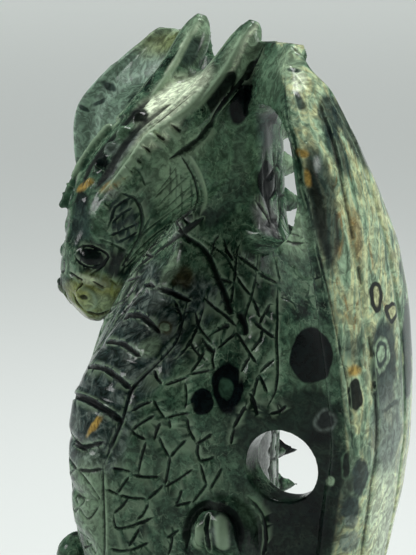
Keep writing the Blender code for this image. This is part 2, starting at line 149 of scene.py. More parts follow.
# Web between trunk and wing. Each row is a height, then X and Y of its front where it leaves the trunk,
# X and Y of its front half-way to the wing, and its thickness.
WEB = (
    (219, 19, 13, 26, 12.5, 3.5),
    (212, 15, 11, 29, 8, 4.5),
    (202, 13, 9.5, 34, 4.5, 10),
    (185, 14, 9, 40, 2, 11),
    (165, 15, 7, 42, 0.5, 12),
    (150, 19, -1.5, 46, 2.5, 11),
    (135, 25, -9.5, 50, 0.5, 12),
    (117, 28, -18.8, 52, -1.2, 12),
    (100, 28, -20, 52, 0.5, 12),
    (80, 28, -19.5, 50, 2, 12),
    (62, 28, -18, 47, 3, 11),
    (48, 28, -10, 43, 8, 10),
)
# How far the web ends behind the wing's leading edge, by height
WEB_END = ((208, 216), (3.5, -2))
WINDOW_MIDDLE = (34, 8, 181.5)
WINDOW_HALF_WIDTH = 25
WINDOW_HALF_HEIGHT = 21
HOLE_MIDDLE = (50, 2.9, 101.8)
HOLE_TURN = math.radians(36)

# Head, as sections across its line from nape to snout. Each row is a distance along the line, then
# the top, the bottom, the half-width at the brow and the half-width at the jaw, across the line.
HEAD_START = (0, 8, 190)
HEAD_END = (0, -38, 148)
HEAD = (
    (-14, 9, -16, 8, 9),
    (-7, 15.5, -16, 12, 13),
    (4, 19.5, -15, 14, 15.5),
    (14, 21.3, -12, 14, 16),
    (24, 21.5, -8, 13.5, 15.5),
    (33, 20.2, -6.5, 13.3, 14.5),
    (40, 18.2, -6.5, 12.8, 13.8),
    (46, 15.6, -7, 11.4, 13),
    (51, 12.6, -8.3, 8.8, 11.6),
    (56, 9.8, -10, 7.4, 10.2),
    (60.5, 5.8, -11.5, 7.4, 8.8),
    (64, 2.2, -11.8, 6, 6.6),
    (66, -1.5, -9.5, 3, 3.2),
)
CREST = ((14, 22.6), (20.5, 23.2), (26.5, 22.6), (32, 21.6), (37, 19.8), (42, 17.2))
CREST_RADIUS = 2.6
BROW = ((20, 20.6, 12.4), (27, 20.0, 12.6), (33, 19.1, 12.5), (39, 17.8, 12.2), (45, 16.0, 11.4))
BROW_TEETH = 12
TOOTH_RADII = (1.5, 1.25, 1.9)

HORN = (
    (9.5, -15, 192.5, 4.8),
    (11, -8, 197, 5.8),
    (12.6, -1, 203, 5.9),
    (13.8, 5.2, 210, 5.4),
    (14.7, 9.8, 217, 4.7),
    (15.1, 12, 222, 3.3),
    (15.2, 12.9, 224.7, 1.5),
)

SPIKE_TOP = 203
SPIKE_BOTTOM = 46
SPIKE_PITCH = 11.2
SPIKE_REACH = 9
SPIKE_DROP = 2.5
SPIKE_HALF_WIDTH = 4.5
SPIKE_OVERLAP = 0.55
SPIKE_FACES = [(4, 2, 0), (4, 0, 3), (4, 3, 1), (4, 1, 2), (5, 0, 2), (5, 3, 0), (5, 1, 3), (5, 2, 1)]

PLATE_JOINTS = (151, 142.5, 134.5, 126, 115.5, 101, 86, 72)
PLATE_STEP = 2.1
PLATE_ROUND = ((0.0, 0.15), (0.1, 0.8), (0.35, 1.0), (0.75, 0.9), (1.0, 0.3))

# Limbs and tail: a row of each is X, Y, Z and the radius there
ARM = ((33, 12, 52, 9), (35, 4, 64, 8.5), (37, -4, 74, 8.5), (38, -8, 80, 8.5))
THIGH = (
    (34, 14, 34, 19),
    (34, 0, 38, 17),
    (30, -13, 47, 12.5),
    (24.5, -23, 55, 9),
    (22, -26.5, 58, 7.6),
)
SHIN = ((22, -26.5, 58, 7.6), (25, -29, 44, 7), (28, -31, 30, 7), (29, -34, 18, 7))
FOOT_MIDDLE = (29, -37, 16)
# The limbs' rounded parts: the middle and the radii of each
ROUNDED = (
    ("fist", (38, -9, 81.5), (9.3, 9.3, 9.3)),
    ("haunch", (33, 13, 33), (17, 20, 20)),
    ("knee", (21.5, -26.5, 58.5), (8, 8, 8)),
    ("foot", FOOT_MIDDLE, (9.5, 10, 6.5)),
)
TOES = 3
TOE_FAN = math.radians(24)
TOE_LENGTH = 13
TOE_RADIUS = 3.9
TOE_TIP_RADIUS = 1.6
TAIL = (
    (0, 34, 30, 13),
    (-16, 40, 23, 11),
    (-34, 35, 19.5, 9.5),
    (-47, 18, 18, 8.2),
    (-50, -4, 17, 7),
    (-46, -26, 16.5, 5.8),
    (-33, -44, 16, 4.8),
    (-14, -50, 15.5, 3.8),
    (2, -50, 15.5, 2.6),
    (10, -47.5, 16.5, 1.4),
)

# Lines of the carving, as pixels of the photo, each cut by hand with a wheel: the line's half-width
# and depth in millimetres (a negative depth stands proud), then its points.
HEAD_LINES = (
    # groove behind the near horn, and the horns' long ridges
    (1.3, 1.7, ((263, 47), (256, 61), (248, 73), (232, 94), (219, 111), (200, 139), (170, 159))),
    (1.6, -0.9, ((250, 27), (240, 45), (228, 66), (214, 86), (199, 104), (188, 115))),
    (1.5, -0.9, ((198, 20), (186, 44), (173, 68), (158, 90), (146, 106))),
    # ridge of the brow from the horn to the muzzle, and the channel above it
    (2.2, -0.9, ((207, 84), (193, 105), (170, 123), (153, 133),
                 (140, 146), (131, 162), (117, 179), (100, 196))),
    (2.6, 0.9, ((180, 96), (158, 112), (137, 128), (121, 148), (108, 170), (94, 190))),
    (0.5, 0.5, ((196, 92), (170, 112), (146, 134), (128, 158), (113, 178))),
    (0.4, 0.4, ((186, 90), (162, 106), (142, 122), (129, 138))),
    (0.5, 0.4, ((200, 86), (182, 100), (160, 118), (146, 128))),
    # cheek fan and its border
    (0.5, 0.6, ((132, 197), (116, 207), (112, 216), (107, 230))),
    (0.45, 0.5, ((132, 208), (122, 214), (112, 223))),
    (0.45, 0.55, ((137, 224), (122, 231), (109, 236))),
    (0.45, 0.55, ((138, 232), (128, 238), (118, 242))),
    (0.45, 0.5, ((98, 239), (112, 244), (126, 251))),
    (0.7, 0.6, ((122, 193), (136, 200), (142, 214), (141, 232), (133, 250), (122, 266))),
    # eye and the line under it
    (0.45, 0.4, ((74, 252), (83, 246), (96, 248), (108, 256),
                 (100, 266), (88, 267), (78, 261), (74, 252))),
    (0.5, 0.6, ((105, 264), (98, 270), (89, 276))),
    # nose and mouth
    (0.6, 0.8, ((69, 272), (76, 277), (83, 281))),
    (0.6, 0.7, ((83, 283), (79, 287), (75, 291))),
    (0.6, 0.7, ((92, 281), (99, 285), (105, 288))),
    (0.5, 0.6, ((110, 280), (114, 283), (117, 286))),
    (1.5, 1.9, ((83, 298), (84, 299), (84.5, 300))),
    (1.2, -0.6, ((77, 290), (85, 289), (93, 294), (96, 303), (90, 309), (81, 306), (77, 298))),
    (0.9, 1.3, ((73, 294), (81, 307), (96, 315), (108, 312), (117, 306))),
    (0.5, 0.6, ((98, 323), (108, 319), (116, 313))),
    # jaw, its rear curves and the flowing lines under the cheek
    (1.2, 1.2, ((203, 218), (180, 234), (159, 250), (138, 267), (124, 285), (118, 301))),
    (1.2, -0.8, ((184, 150), (199, 174), (205, 200), (200, 216))),
    (0.6, 0.7, ((180, 153), (194, 178), (198, 200), (193, 213))),
    (0.6, 0.7, ((131, 258), (155, 235), (170, 225), (196, 208))),
    (0.5, 0.5, ((127, 252), (148, 230), (166, 216), (190, 199))),
    (0.5, 0.5, ((125, 268), (142, 252), (162, 240), (178, 228))),
    (0.5, 0.5, ((134, 246), (143, 232), (150, 218))),
    # cross-hatched cheek
    (0.45, 0.5, ((155, 198), (170, 184), (181, 172))),
    (0.45, 0.5, ((158, 206), (172, 192), (190, 175))),
    (0.45, 0.5, ((164, 211), (180, 196), (194, 184))),
    (0.45, 0.5, ((160, 190), (168, 180), (178, 165))),
    (0.45, 0.5, ((170, 214), (184, 202), (196, 193))),
    (0.4, 0.4, ((170, 163), (171, 178), (170, 194))),
    (0.4, 0.4, ((181, 170), (182, 192), (182, 215))),
    (0.4, 0.4, ((190, 178), (192, 196), (191, 212))),
    (0.4, 0.4, ((176, 166), (177, 186), (176, 204))),
    (0.4, 0.4, ((128, 165), (139, 172), (145, 186))),
)
BODY_LINES = (
    # joints of the belly plates and the border beside them
    (1.0, 1.5, ((158, 288), (173, 293), (190, 301))),
    (1.0, 1.5, ((134, 312), (145, 319), (160, 333))),
    (0.9, 1.3, ((117, 341), (126, 346), (140, 356))),
    (1.0, 1.5, ((101, 366), (113, 374), (131, 389))),
    (1.2, 1.9, ((79, 395), (92, 402), (105, 410), (123, 422))),
    (0.8, 1.0, ((74, 444), (86, 447), (104, 442))),
    (0.8, 1.0, ((78, 470), (90, 471), (102, 469))),
    (0.7, 0.7, ((188, 298), (182, 322), (175, 343), (153, 367),
                (132, 390), (123, 418), (112, 444), (104, 464))),
    (0.6, 0.6, ((103, 464), (103, 490), (104, 520), (104, 560))),
    (0.8, -0.5, ((107, 468), (107, 492), (108, 520), (108, 560))),
    (0.6, 0.6, ((174, 300), (181, 318), (176, 336))),
    (0.6, 0.7, ((204, 305), (196, 330), (188, 346), (176, 360))),
    # rim of the window, the fold below it and the wing's leading edge
    (0.7, 0.8, ((255, 200), (266, 214), (276, 232), (290, 243), (308, 243))),
    (0.6, 0.5, ((278, 200), (280, 218), (288, 232), (304, 238))),
    (0.5, 0.4, ((284, 60), (286, 112), (294, 139), (300, 169), (303, 189), (309, 208), (313, 228))),
    (0.5, 0.5, ((313, 228), (320, 260), (328, 290), (337, 333),
                (342, 358), (347, 381), (350, 410), (353, 449))),
    (0.6, -0.5, ((296, 74), (304, 90), (309, 122), (307, 143))),
    (0.6, -0.5, ((293, 91), (299, 118), (303, 143))),
    (0.5, 0.5, ((292, 47), (301, 54), (314, 66))),
    # the curled paw: ring, socket and two fingers
    (1.9, 2.3, ((186, 548), (187, 527), (197, 511), (213, 505), (230, 511), (239, 528), (241, 552))),
    (1.0, 1.4, ((208, 514), (206, 530), (209, 552))),
    (2.6, -1.2, ((199, 526), (199, 546))),
    (2.8, -1.2, ((220, 518), (223, 548))),
    (0.7, 0.7, ((248, 497), (262, 515), (266, 538), (262, 560))),
    # fine cracks on the smooth flank
    (0.35, 0.35, ((280, 297), (293, 303), (297, 310))),
    (0.35, 0.35, ((296, 279), (309, 280), (322, 277))),
    (0.35, 0.35, ((309, 282), (308, 293), (306, 298), (318, 295))),
    (0.35, 0.35, ((310, 301), (312, 308), (318, 310))),
    (0.35, 0.35, ((291, 266), (297, 277))),
    # strokes on the front, left of the crease
    (0.55, 0.6, ((80, 472), (91, 487), (101, 502))),
    (0.55, 0.6, ((79, 507), (88, 519), (99, 506))),
    (0.55, 0.6, ((86, 540), (92, 549), (97, 556))),
    (0.55, 0.6, ((76, 492), (84, 500), (79, 507))),
)
# Teeth that hang off the brow ridge: the pixel at each root and the tooth's length in pixels
TEETH = (
    (166, 128, 17), (151, 137, 16), (139, 149, 14), (131, 160, 12), (124, 170, 10),
    (118, 178, 9), (112, 186, 8), (107, 195, 7), (103, 205, 7),
)
# The way that they point, right and down in the photo, and the sizes of a tooth and of the notch behind
# it as shares of the tooth's length: half-width, height or depth, and the notch's place and length
TOOTH_WAY = (0.78, 0.62)
TOOTH_SIZES = (0.09, 0.08)
NOTCH_SIZES = (0.045, 0.06)
NOTCH_GAP = 0.36
NOTCH_LENGTH = 0.8
# The thin line along each of the wings' long cuts
WING_LINE_HALF_WIDTH = 0.9
WING_LINE_DEPTH = 0.5
WING_LINE_HEIGHTS = np.arange(42, 216, 0.3)
# How a line starts and ends: its width there as a share, and how fast it widens along its length
LINE_END_WIDTH = 0.35
LINE_END_RATE = 5
HIGHLIGHT_RIM_REACH = 0.9  # how far the painted highlight on the rim reaches beside a cut, in half-widths of the line
HIGHLIGHT_RIM_WIDEST_LINE = 1.5  # wider cuts get no painted highlight on their rim
# The faces beside a line are split as far as its half-width, up to the first value, and the margin
SPLIT_HALF_WIDTH = 1.4
SPLIT_MARGIN = 0.9
SCALE_HALF_WIDTH = 0.58
SCALE_DEPTH = 0.8
SCALE_LINES = (
    ((219, 235), (214, 241), (212, 250), (211, 255)), ((223, 237), (226, 248), (229, 254), (233, 260)),
    ((241, 240), (237, 250), (236, 258), (235, 271), (234, 284)), ((238, 256), (246, 262), (258, 271)),
    ((258, 255), (256, 269)), ((258, 273), (266, 278), (277, 283)), ((274, 258), (277, 269), (280, 281)),
    ((211, 276), (221, 279), (233, 283)), ((233, 284), (232, 294), (230, 304)),
    ((237, 277), (242, 285), (250, 295)), ((256, 273), (254, 284), (251, 297), (246, 312), (242, 329)),
    ((252, 298), (256, 307), (259, 317)), ((270, 304), (264, 314), (259, 324)),
    ((254, 322), (262, 329), (274, 338)), ((262, 329), (260, 339), (252, 351)),
    ((204, 298), (215, 308), (227, 317), (236, 326)), ((236, 333), (227, 340), (218, 348)),
    ((237, 333), (244, 344), (251, 355), (257, 364)), ((250, 357), (245, 364), (241, 372)),
    ((278, 286), (277, 305), (277, 323), (276, 340), (277, 359), (277, 378), (274, 393), (268, 406)),
    ((260, 372), (266, 366), (274, 359)), ((259, 375), (263, 383), (267, 393)),
    ((258, 377), (255, 388), (253, 397)), ((249, 393), (253, 398), (257, 411)),
    ((244, 409), (238, 419), (233, 428)), ((270, 414), (280, 411), (286, 406)),
    ((195, 312), (198, 325), (204, 334), (211, 342)), ((204, 351), (198, 362), (191, 372)),
    ((214, 348), (212, 359), (214, 370)), ((210, 370), (200, 372), (190, 374)),
    ((187, 377), (176, 381), (165, 385)), ((154, 370), (157, 378), (162, 384)),
    ((185, 383), (186, 395), (185, 408)), ((154, 400), (158, 409), (165, 419)),
    ((132, 411), (142, 405), (152, 401)), ((166, 418), (177, 415), (189, 413)), ((169, 420), (170, 428)),
    ((132, 430), (143, 422), (155, 415)), ((160, 423), (157, 430), (154, 440)),
    ((131, 430), (136, 435), (145, 439)), ((187, 418), (189, 430), (195, 441)),
    ((159, 437), (163, 447), (169, 457)), ((170, 457), (178, 448), (186, 440)),
    ((196, 444), (204, 440), (212, 434)), ((198, 444), (197, 453), (200, 462)),
    ((200, 461), (207, 460), (214, 457)), ((200, 464), (203, 474), (206, 485)),
    ((170, 457), (168, 469), (165, 485)), ((165, 487), (177, 480), (193, 469)),
    ((132, 475), (145, 477), (160, 477)), ((138, 473), (141, 459), (146, 442)),
    ((111, 468), (121, 470), (130, 472)), ((129, 476), (123, 485), (117, 494)),
    ((106, 489), (112, 492), (118, 495)), ((120, 495), (130, 498), (146, 499)),
    ((147, 500), (155, 493), (163, 485)), ((128, 499), (121, 507), (114, 513)),
    ((148, 504), (143, 514), (137, 520)),
    ((114, 514), (114, 522), (117, 528), (128, 527), (142, 522), (155, 517)),
    ((175, 506), (183, 504), (191, 502)), ((176, 504), (179, 498), (182, 490)),
    ((193, 502), (200, 493), (207, 484)), ((139, 529), (134, 538), (129, 546)),
    ((167, 538), (173, 534), (179, 530)), ((172, 535), (171, 545), (168, 555)),
    ((129, 551), (139, 547), (148, 543)), ((109, 549), (120, 551), (130, 550)),
    ((222, 468), (218, 476), (210, 489)), ((251, 397), (254, 406), (258, 415)),
    ((246, 406), (240, 416), (234, 427)), ((234, 429), (232, 436), (231, 444)),
)
# Scales on the sides that the photo doesn't show: their pitch, irregularity, the half-width and depth
# of the lines between them, and the depth and size of the lines' waviness
BACK_SCALE_PITCH = 8.2
BACK_SCALE_JITTER = 0.55
BACK_SCALE_LINE = 0.75
BACK_SCALE_DEPTH = 0.75
BACK_SCALE_WAVE = 0.5
BACK_SCALE_WAVE_SIZE = 9
# Rock of the base: the pitch and irregularity of its chips, how far from its edge a chip rises and how
# steeply, and how much the whole is cut in
CHIP_PITCH = 9
CHIP_JITTER = 0.9
CHIP_RANGE = 2.2
CHIP_SLOPE = 0.45
ROCK_DEPTH = 0.8
UNEVEN = 0.1  # the polished surface's own unevenness
UNEVEN_SIZE = 13
# Directions and factor that give each cell its own chance numbers
CELL_WAYS = ((12.9, 78.2, 37.7), (39.3, 11.1, 83.2), (73.1, 52.2, 9.1))
CELL_FACTOR = 43758.5453

# Colours of the stone, as linear values
COLOURS = {
    "deep": (0.006, 0.017, 0.011, 1),
    "green": (0.034, 0.078, 0.048, 1),
    "moss": (0.092, 0.162, 0.100, 1),
    "pale": (0.29, 0.41, 0.27, 1),
    "mist": (0.29, 0.41, 0.32, 1),
    "cream": (0.72, 0.82, 0.60, 1),
    "tan": (0.50, 0.53, 0.29, 1),
    "rust": (0.26, 0.15, 0.045, 1),
    "ochre": (0.38, 0.25, 0.06, 1),
    "olive": (0.22, 0.25, 0.075, 1),
    "brown": (0.055, 0.046, 0.02, 1),
    "slate": (0.022, 0.040, 0.037, 1),
    "gray": (0.15, 0.19, 0.165, 1),
    "mauve": (0.16, 0.16, 0.165, 1),
    "black": (0.001, 0.003, 0.004, 1),
}
GROUND_STOPS = (
    (0.36, "deep"), (0.45, "green"), (0.55, "moss"),
    (0.61, "green"), (0.68, "moss"), (0.80, "pale"),
)
WING_STOPS = (
    (0.30, "slate"), (0.38, "moss"), (0.46, "pale"),
    (0.54, "tan"), (0.62, "pale"), (0.72, "tan"),
)
WING_GRAIN_TURN = (0.0, 0.12, 0.0)
WING_GRAIN_SCALE = (0.16, 0.16, 0.06)
RUST_MIDDLE = 165  # the height at which the near wing's rust is strongest
CURVE_SPAN = 100  # the range of the values that follow the height, in millimetres
# Orbs: their density, irregularity, smallest size and its range, and where they give way to placed ones
ORB_SCALE = 0.042
ORB_JITTER = 0.9
ORB_SIZE = 0.16
ORB_SIZE_RANGE = 0.22
ORB_FREE_DEPTH = (14, 4)
STONE_SPECULAR = 0.16
STONE_ROUGHNESS = 0.06
STONE_ROUGHNESS_RANGE = 0.16
BUMP_STRENGTH = 0.12
BUMP_DISTANCE = 0.0003
DRIFT = 4.0  # how far the colours' borders wander, in millimetres

# Floor, surroundings and lights, in metres, watts and linear values
FLOOR_RADIUS = 9
# The floor is painted darker near the figure and lighter far off: painted shade and painted light that
# even out the lights' falloff
FLOOR_PAINTED_SHADE_NEAR = (0.71, 0.74, 0.725, 1)
FLOOR_PAINTED_LIGHT_FAR = (0.89, 0.93, 0.905, 1)
FLOOR_ROUGHNESS = 0.75
WALL_LOW = (0.66, 0.70, 0.68, 1)
WALL_HIGH = (0.50, 0.53, 0.52, 1)
SKY_LIGHT = (1.2, 1.24, 1.22, 1)
SKY_DARK = (0.05, 0.05, 0.05, 1)
GLOSSY_SHADE = 0.97
LIGHT_SIZE = 0.22
LIGHTS = (
    ("top_light", (-0.1, 0.2, 0.75), 2.4),
    ("front_light", (-0.5, -0.6, 0.45), 1.4),
    ("back_light", (0.6, 0.6, 0.5), 1.8),
)

# Patches of colour: the pixel at the middle, the half-width and half-height in pixels, the turn in
# degrees, how deep it reaches in millimetres, how soft its edge is, its strength and its colour.
# Patches marked below as painted highlight, painted reflection or painted shade put light or shade into
# the colour.
PATCHES = (
    # crown, horns and brow; their cream and pale patches are painted highlight from the light above
    (112, 92, 70, 90, 0, 34, 0.25, 0.9, "mist"),
    # painted highlight: crown and horns lit from above, laid on as cream and pale
    (174, 98, 42, 22, -40, 22, 0.4, 0.88, "cream"),
    (236, 62, 13, 42, 30, 12, 0.5, 0.9, "pale"),
    (196, 38, 12, 30, 20, 12, 0.5, 0.7, "pale"),
    # painted highlight along the horns' ridges
    (238, 55, 3, 40, 30, 5, 0.6, 0.8, "cream"),
    (180, 55, 3, 40, 30, 5, 0.6, 0.8, "cream"),
    (192, 52, 8, 19, 30, 6, 0.3, 0.85, "slate"),
    (125, 158, 13, 40, 30, 7, 0.5, 0.5, "mauve"),
    (139, 114, 10, 9, 0, 14, 0.25, 0.95, "black"),
    (120, 132, 8, 11, 0, 12, 0.3, 0.9, "moss"),
    (112, 148, 9, 7, 0, 12, 0.4, 0.7, "gray"),
    (101, 160, 8, 8, 0, 12, 0.3, 0.95, "black"),
    (85, 186, 9, 5, -30, 10, 0.35, 0.8, "ochre"),
    (81, 200, 8, 13, 0, 6, 0.3, 0.9, "black"),
    # painted highlight on the brow ridge and its beads
    (158, 135, 28, 11, -40, 18, 0.4, 0.95, "cream"),
    (124, 172, 9, 24, 30, 9, 0.5, 0.75, "pale"),
    (112, 184, 14, 4, -30, 5, 0.5, 0.7, "ochre"),
    (112, 192, 10, 7, -30, 6, 0.5, 0.5, "mauve"),
    # face
    (80, 222, 12, 24, 0, 8, 0.4, 0.8, "slate"),
    (102, 222, 12, 16, 20, 6, 0.5, 0.5, "moss"),
    (125, 220, 16, 25, 0, 8, 0.08, 0.92, "slate"),
    (92, 257, 20, 15, 0, 10, 0.25, 0.95, "black"),
    (118, 264, 12, 16, 0, 10, 0.4, 0.9, "black"),
    (92, 297, 29, 22, 0, 44, 0.35, 0.85, "olive"),
    (100, 304, 15, 9, 10, 24, 0.5, 0.5, "pale"),
    (88, 280, 16, 4, 20, 6, 0.6, 0.5, "cream"),
    # partly dark stone, partly painted shade in the gap under the jaw
    (133, 282, 13, 26, 20, 8, 0.4, 0.85, "deep"),
    # partly dark stone, partly painted shade where the jaw meets the throat
    (188, 222, 15, 6, -30, 6, 0.35, 0.85, "deep"),
    (104, 320, 18, 6, -10, 8, 0.5, 0.8, "slate"),
    # cheek, neck and horns' roots
    (168, 182, 34, 34, 0, 10, 0.6, 0.55, "moss"),
    (180, 150, 34, 16, -30, 8, 0.6, 0.4, "pale"),
    (170, 186, 20, 22, 0, 6, 0.6, 0.4, "pale"),
    (232, 150, 36, 40, 0, 10, 0.5, 0.45, "moss"),
    (275, 75, 20, 34, 10, 12, 0.6, 0.75, "moss"),
    (290, 62, 12, 18, -10, 10, 0.6, 0.75, "pale"),
    (222, 92, 11, 24, 30, 8, 0.12, 0.97, "black"),
    (243, 100, 11, 26, 20, 8, 0.12, 0.97, "black"),
    (268, 128, 20, 18, 0, 9, 0.4, 0.85, "slate"),
    (268, 140, 6, 24, 10, 9, 0.5, 0.7, "black"),
    (290, 165, 6, 36, -10, 10, 0.5, 0.7, "pale"),
    (266, 216, 15, 22, -20, 9, 0.3, 0.8, "mauve"),
    (268, 181, 13, 19, 0, 10, 0.08, 0.97, "black"),
    (297, 230, 20, 26, 0, 12, 0.5, 0.8, "pale"),
    (183, 277, 12, 11, 0, 8, 0.4, 0.8, "brown"),
    (172, 268, 6, 22, 20, 8, 0.4, 0.6, "pale"),
    # flank
    (252, 300, 32, 64, 0, 16, 0.5, 0.65, "deep"),
    (256, 428, 32, 40, 0, 16, 0.5, 0.85, "deep"),
    (92, 515, 20, 60, 0, 12, 0.5, 0.5, "pale"),
    (170, 466, 60, 60, 0, 12, 0.6, 0.3, "moss"),
    # partly dark stone, partly painted shade under the rear of the jaw
    (205, 219, 24, 10, -20, 8, 0.5, 0.6, "deep"),
    (310.7, 356.5, 26, 34, 0, 26, 0.25, 0.6, "moss"),
    (310.7, 356.5, 21, 28.5, 0, 26, 0.05, 0.98, "black"),
    (200, 402, 13, 13, 0, 6, 0.08, 0.98, "black"),
    (229, 388, 16, 26, 0, 7, 0.08, 0.98, "black"),
    (228, 389, 7, 11, 0, 7, 0.2, 0.9, "green"),
    (192, 340, 13, 34, -10, 8, 0.3, 0.85, "deep"),
    (312, 416, 42, 28, 0, 10, 0.2, 0.9, "deep"),
    (325, 480, 32, 72, 0, 14, 0.3, 0.8, "black"),
    (288, 530, 52, 52, 0, 14, 0.3, 0.85, "black"),
    (326.5, 420, 11, 12, 0, 9, 0.2, 0.7, "gray"),
    (326.5, 420, 8, 9, 0, 9, 0.2, 0.9, "black"),
    (346.6, 466, 6, 16, 0, 9, 0.2, 0.7, "moss"),
    (346.6, 466, 4, 13, 0, 9, 0.2, 0.9, "black"),
    (329, 482, 4, 5, 0, 9, 0.3, 0.8, "pale"),
    (264, 466, 18, 40, 0, 7, 0.4, 0.75, "mauve"),
    (250, 508, 11, 20, -20, 9, 0.4, 0.7, "moss"),
    (213, 532, 27, 26, 0, 6, 0.3, 0.8, "deep"),
    # painted reflection of the light on the paw's raised finger
    (221, 532, 8, 18, 0, 4, 0.5, 0.7, "gray"),
    # belly plates
    (166, 329, 12, 12, 0, 6, 0.25, 0.8, "gray"),
    (166, 329, 8, 8, 0, 6, 0.2, 0.8, "brown"),
    (166, 329, 5, 5, 0, 6, 0.2, 0.8, "pale"),
    (149, 346, 12, 8, -20, 6, 0.35, 0.6, "pale"),
    (130, 352, 13, 9, -30, 6, 0.3, 0.5, "gray"),
    (94, 427, 4, 14, 40, 6, 0.35, 0.95, "ochre"),
    (158, 300, 9, 14, 30, 6, 0.5, 0.6, "gray"),
    # near wing: leading band
    (323, 206, 15, 64, -10, 20, 0.18, 0.85, "slate"),
    (320, 212, 6, 58, -10, 20, 0.5, 0.8, "black"),
    (338, 152, 8, 26, -20, 9, 0.25, 0.85, "slate"),
    # painted highlight on the glossy facet of the leading edge
    (301, 82, 7, 14, 10, 5, 0.3, 0.8, "cream"),
    (300, 101, 5, 10, 0, 5, 0.3, 0.9, "slate"),
    (295, 71, 7, 3, 0, 5, 0.3, 0.9, "slate"),
    (303, 152, 6, 5, 0, 6, 0.5, 0.9, "ochre"),
    (308, 179, 4, 9, -10, 6, 0.4, 0.8, "ochre"),
    (352, 350, 10, 14, 0, 8, 0.7, 0.7, "slate"),
    (353, 371, 8, 5, 0, 8, 0.5, 0.9, "ochre"),
    (354.5, 396, 7, 18, 0, 20, 0.1, 0.97, "black"),
    (360, 478, 9, 20, 0, 20, 0.15, 0.95, "slate"),
    # painted reflection of the lights on the wing's lower right
    (382, 515, 18, 56, 0, 24, 0.5, 0.6, "cream"),
    (352, 507, 10, 12, 0, 20, 0.2, 0.95, "slate"),
    (352, 521, 6, 7, 0, 8, 0.3, 0.8, "gray"),
    (350, 542, 9, 14, 0, 8, 0.3, 0.8, "gray"),
    # near wing: middle and rear panels
    (351, 134, 10, 42, -30, 20, 0.25, 0.9, "slate"),
    (329, 116, 11, 25, -10, 20, 0.2, 0.88, "slate"),
    (356, 236, 6, 30, -10, 20, 0.5, 0.6, "rust"),
    (377, 296, 8, 15, 0, 30, 0.08, 0.98, "black"),
    (377, 296, 4.3, 9.5, 0, 30, 0.15, 0.9, "tan"),
    (391, 313, 7.5, 11, 0, 30, 0.08, 0.98, "black"),
    (391, 313, 4, 6.5, 0, 30, 0.15, 0.9, "tan"),
    (384, 362, 18, 44, 0, 30, 0.2, 0.95, "slate"),
    (382, 354, 9, 18, 0, 30, 0.12, 0.85, "pale"),
    (382, 354, 6.5, 14, 0, 30, 0.12, 0.95, "slate"),
    (382, 354, 4, 8, 0, 30, 0.2, 0.9, "pale"),
    (388, 430, 22, 46, 0, 24, 0.4, 0.8, "gray"),
    (391, 405, 16, 3, -30, 9, 0.4, 0.8, "slate"),
    (408, 350, 7, 50, 0, 30, 0.15, 0.95, "slate"),
    # far wing
    (160, 42, 28, 14, 0, 12, 0.6, 0.55, "olive"),
    (137, 94, 12, 11, 0, 9, 0.2, 0.9, "slate"),
    (110, 87, 9, 4, 30, 8, 0.3, 0.9, "slate"),
    (100, 103, 7, 3, -20, 8, 0.3, 0.9, "slate"),
    (85, 109, 6, 3, 20, 8, 0.3, 0.9, "slate"),
)


def view_frame():
    """The photo's directions: along its rows, up its columns and towards its camera."""
    across = np.array((math.cos(VIEW_AZIMUTH), math.sin(VIEW_AZIMUTH), 0))
    level = np.array((math.sin(VIEW_AZIMUTH), -math.cos(VIEW_AZIMUTH), 0))
    toward = level * math.cos(VIEW_ELEVATION) + np.array((0, 0, math.sin(VIEW_ELEVATION)))
    return across, np.cross(toward, across), toward


ACROSS, UPWARD, TOWARD = view_frame()


def refine(rows, steps):
    """Rows on a smooth curve through the given rows, `steps` for each stretch."""
    rows = np.array(rows, float)
    ends = np.vstack([2 * rows[0] - rows[1], rows, 2 * rows[-1] - rows[-2]])
    found = []
    for k in range(1, len(ends) - 2):
        found += smooth_stretch(ends[k - 1 : k + 3], steps)
    found.append(rows[-1])
    return np.array(found)


def refine_ring(points, steps):
    """Points on a smooth closed curve through the given points."""
    points = np.array(points, float)
    found = []
    for k in range(len(points)):
        around = [points[(k + j) % len(points)] for j in (-1, 0, 1, 2)]
        found += smooth_stretch(around, steps)
    return np.array(found)


def smooth_stretch(around, steps):
    """Catmull-Rom points from the second of four rows up to the third."""
    before, start, end, after = around
    found = []
    for t in np.linspace(0, 1, steps, endpoint=False):
        straight = 2 * start + (end - before) * t
        bend = (2 * before - 5 * start + 4 * end - after) * t**2
        twist = (3 * start - before - 3 * end + after) * t**3
        found.append((straight + bend + twist) / 2)
    return found


def spaced(points, spacing):
    """Points along a smooth line through the given ones, evenly spaced."""
    rows = refine(points, 8)
    lengths = np.r_[0, np.cumsum(np.linalg.norm(np.diff(rows, axis=0), axis=1))]
    places = np.linspace(0, lengths[-1], max(3, int(lengths[-1] / spacing) + 1))
    return np.stack([np.interp(places, lengths, rows[:, k]) for k in range(rows.shape[1])], axis=1)


def table_at(rows, column, z):
    """A column of a table of level sections, at the given heights."""
    rows = np.array(sorted(rows))
    return np.interp(z, rows[:, 0], rows[:, column])


def placed(name, data):
    """An object with this data, in the scene."""
    made = bpy.data.objects.new(name, data)
    bpy.context.scene.collection.objects.link(made)
    return made


def mesh_object(name, points, faces):
    """A closed mesh from points in millimetres and faces, with its normals outward."""
    mesh = bpy.data.meshes.new(name)
    mesh.from_pydata([Vector(p) * MM for p in points], [], faces)
    shape = bmesh.new()
    shape.from_mesh(mesh)
    bmesh.ops.recalc_face_normals(shape, faces=shape.faces)
    if shape.calc_volume(signed=True) < 0:
        bmesh.ops.reverse_faces(shape, faces=shape.faces)
    shape.to_mesh(mesh)
    shape.free()
    return placed(name, mesh)


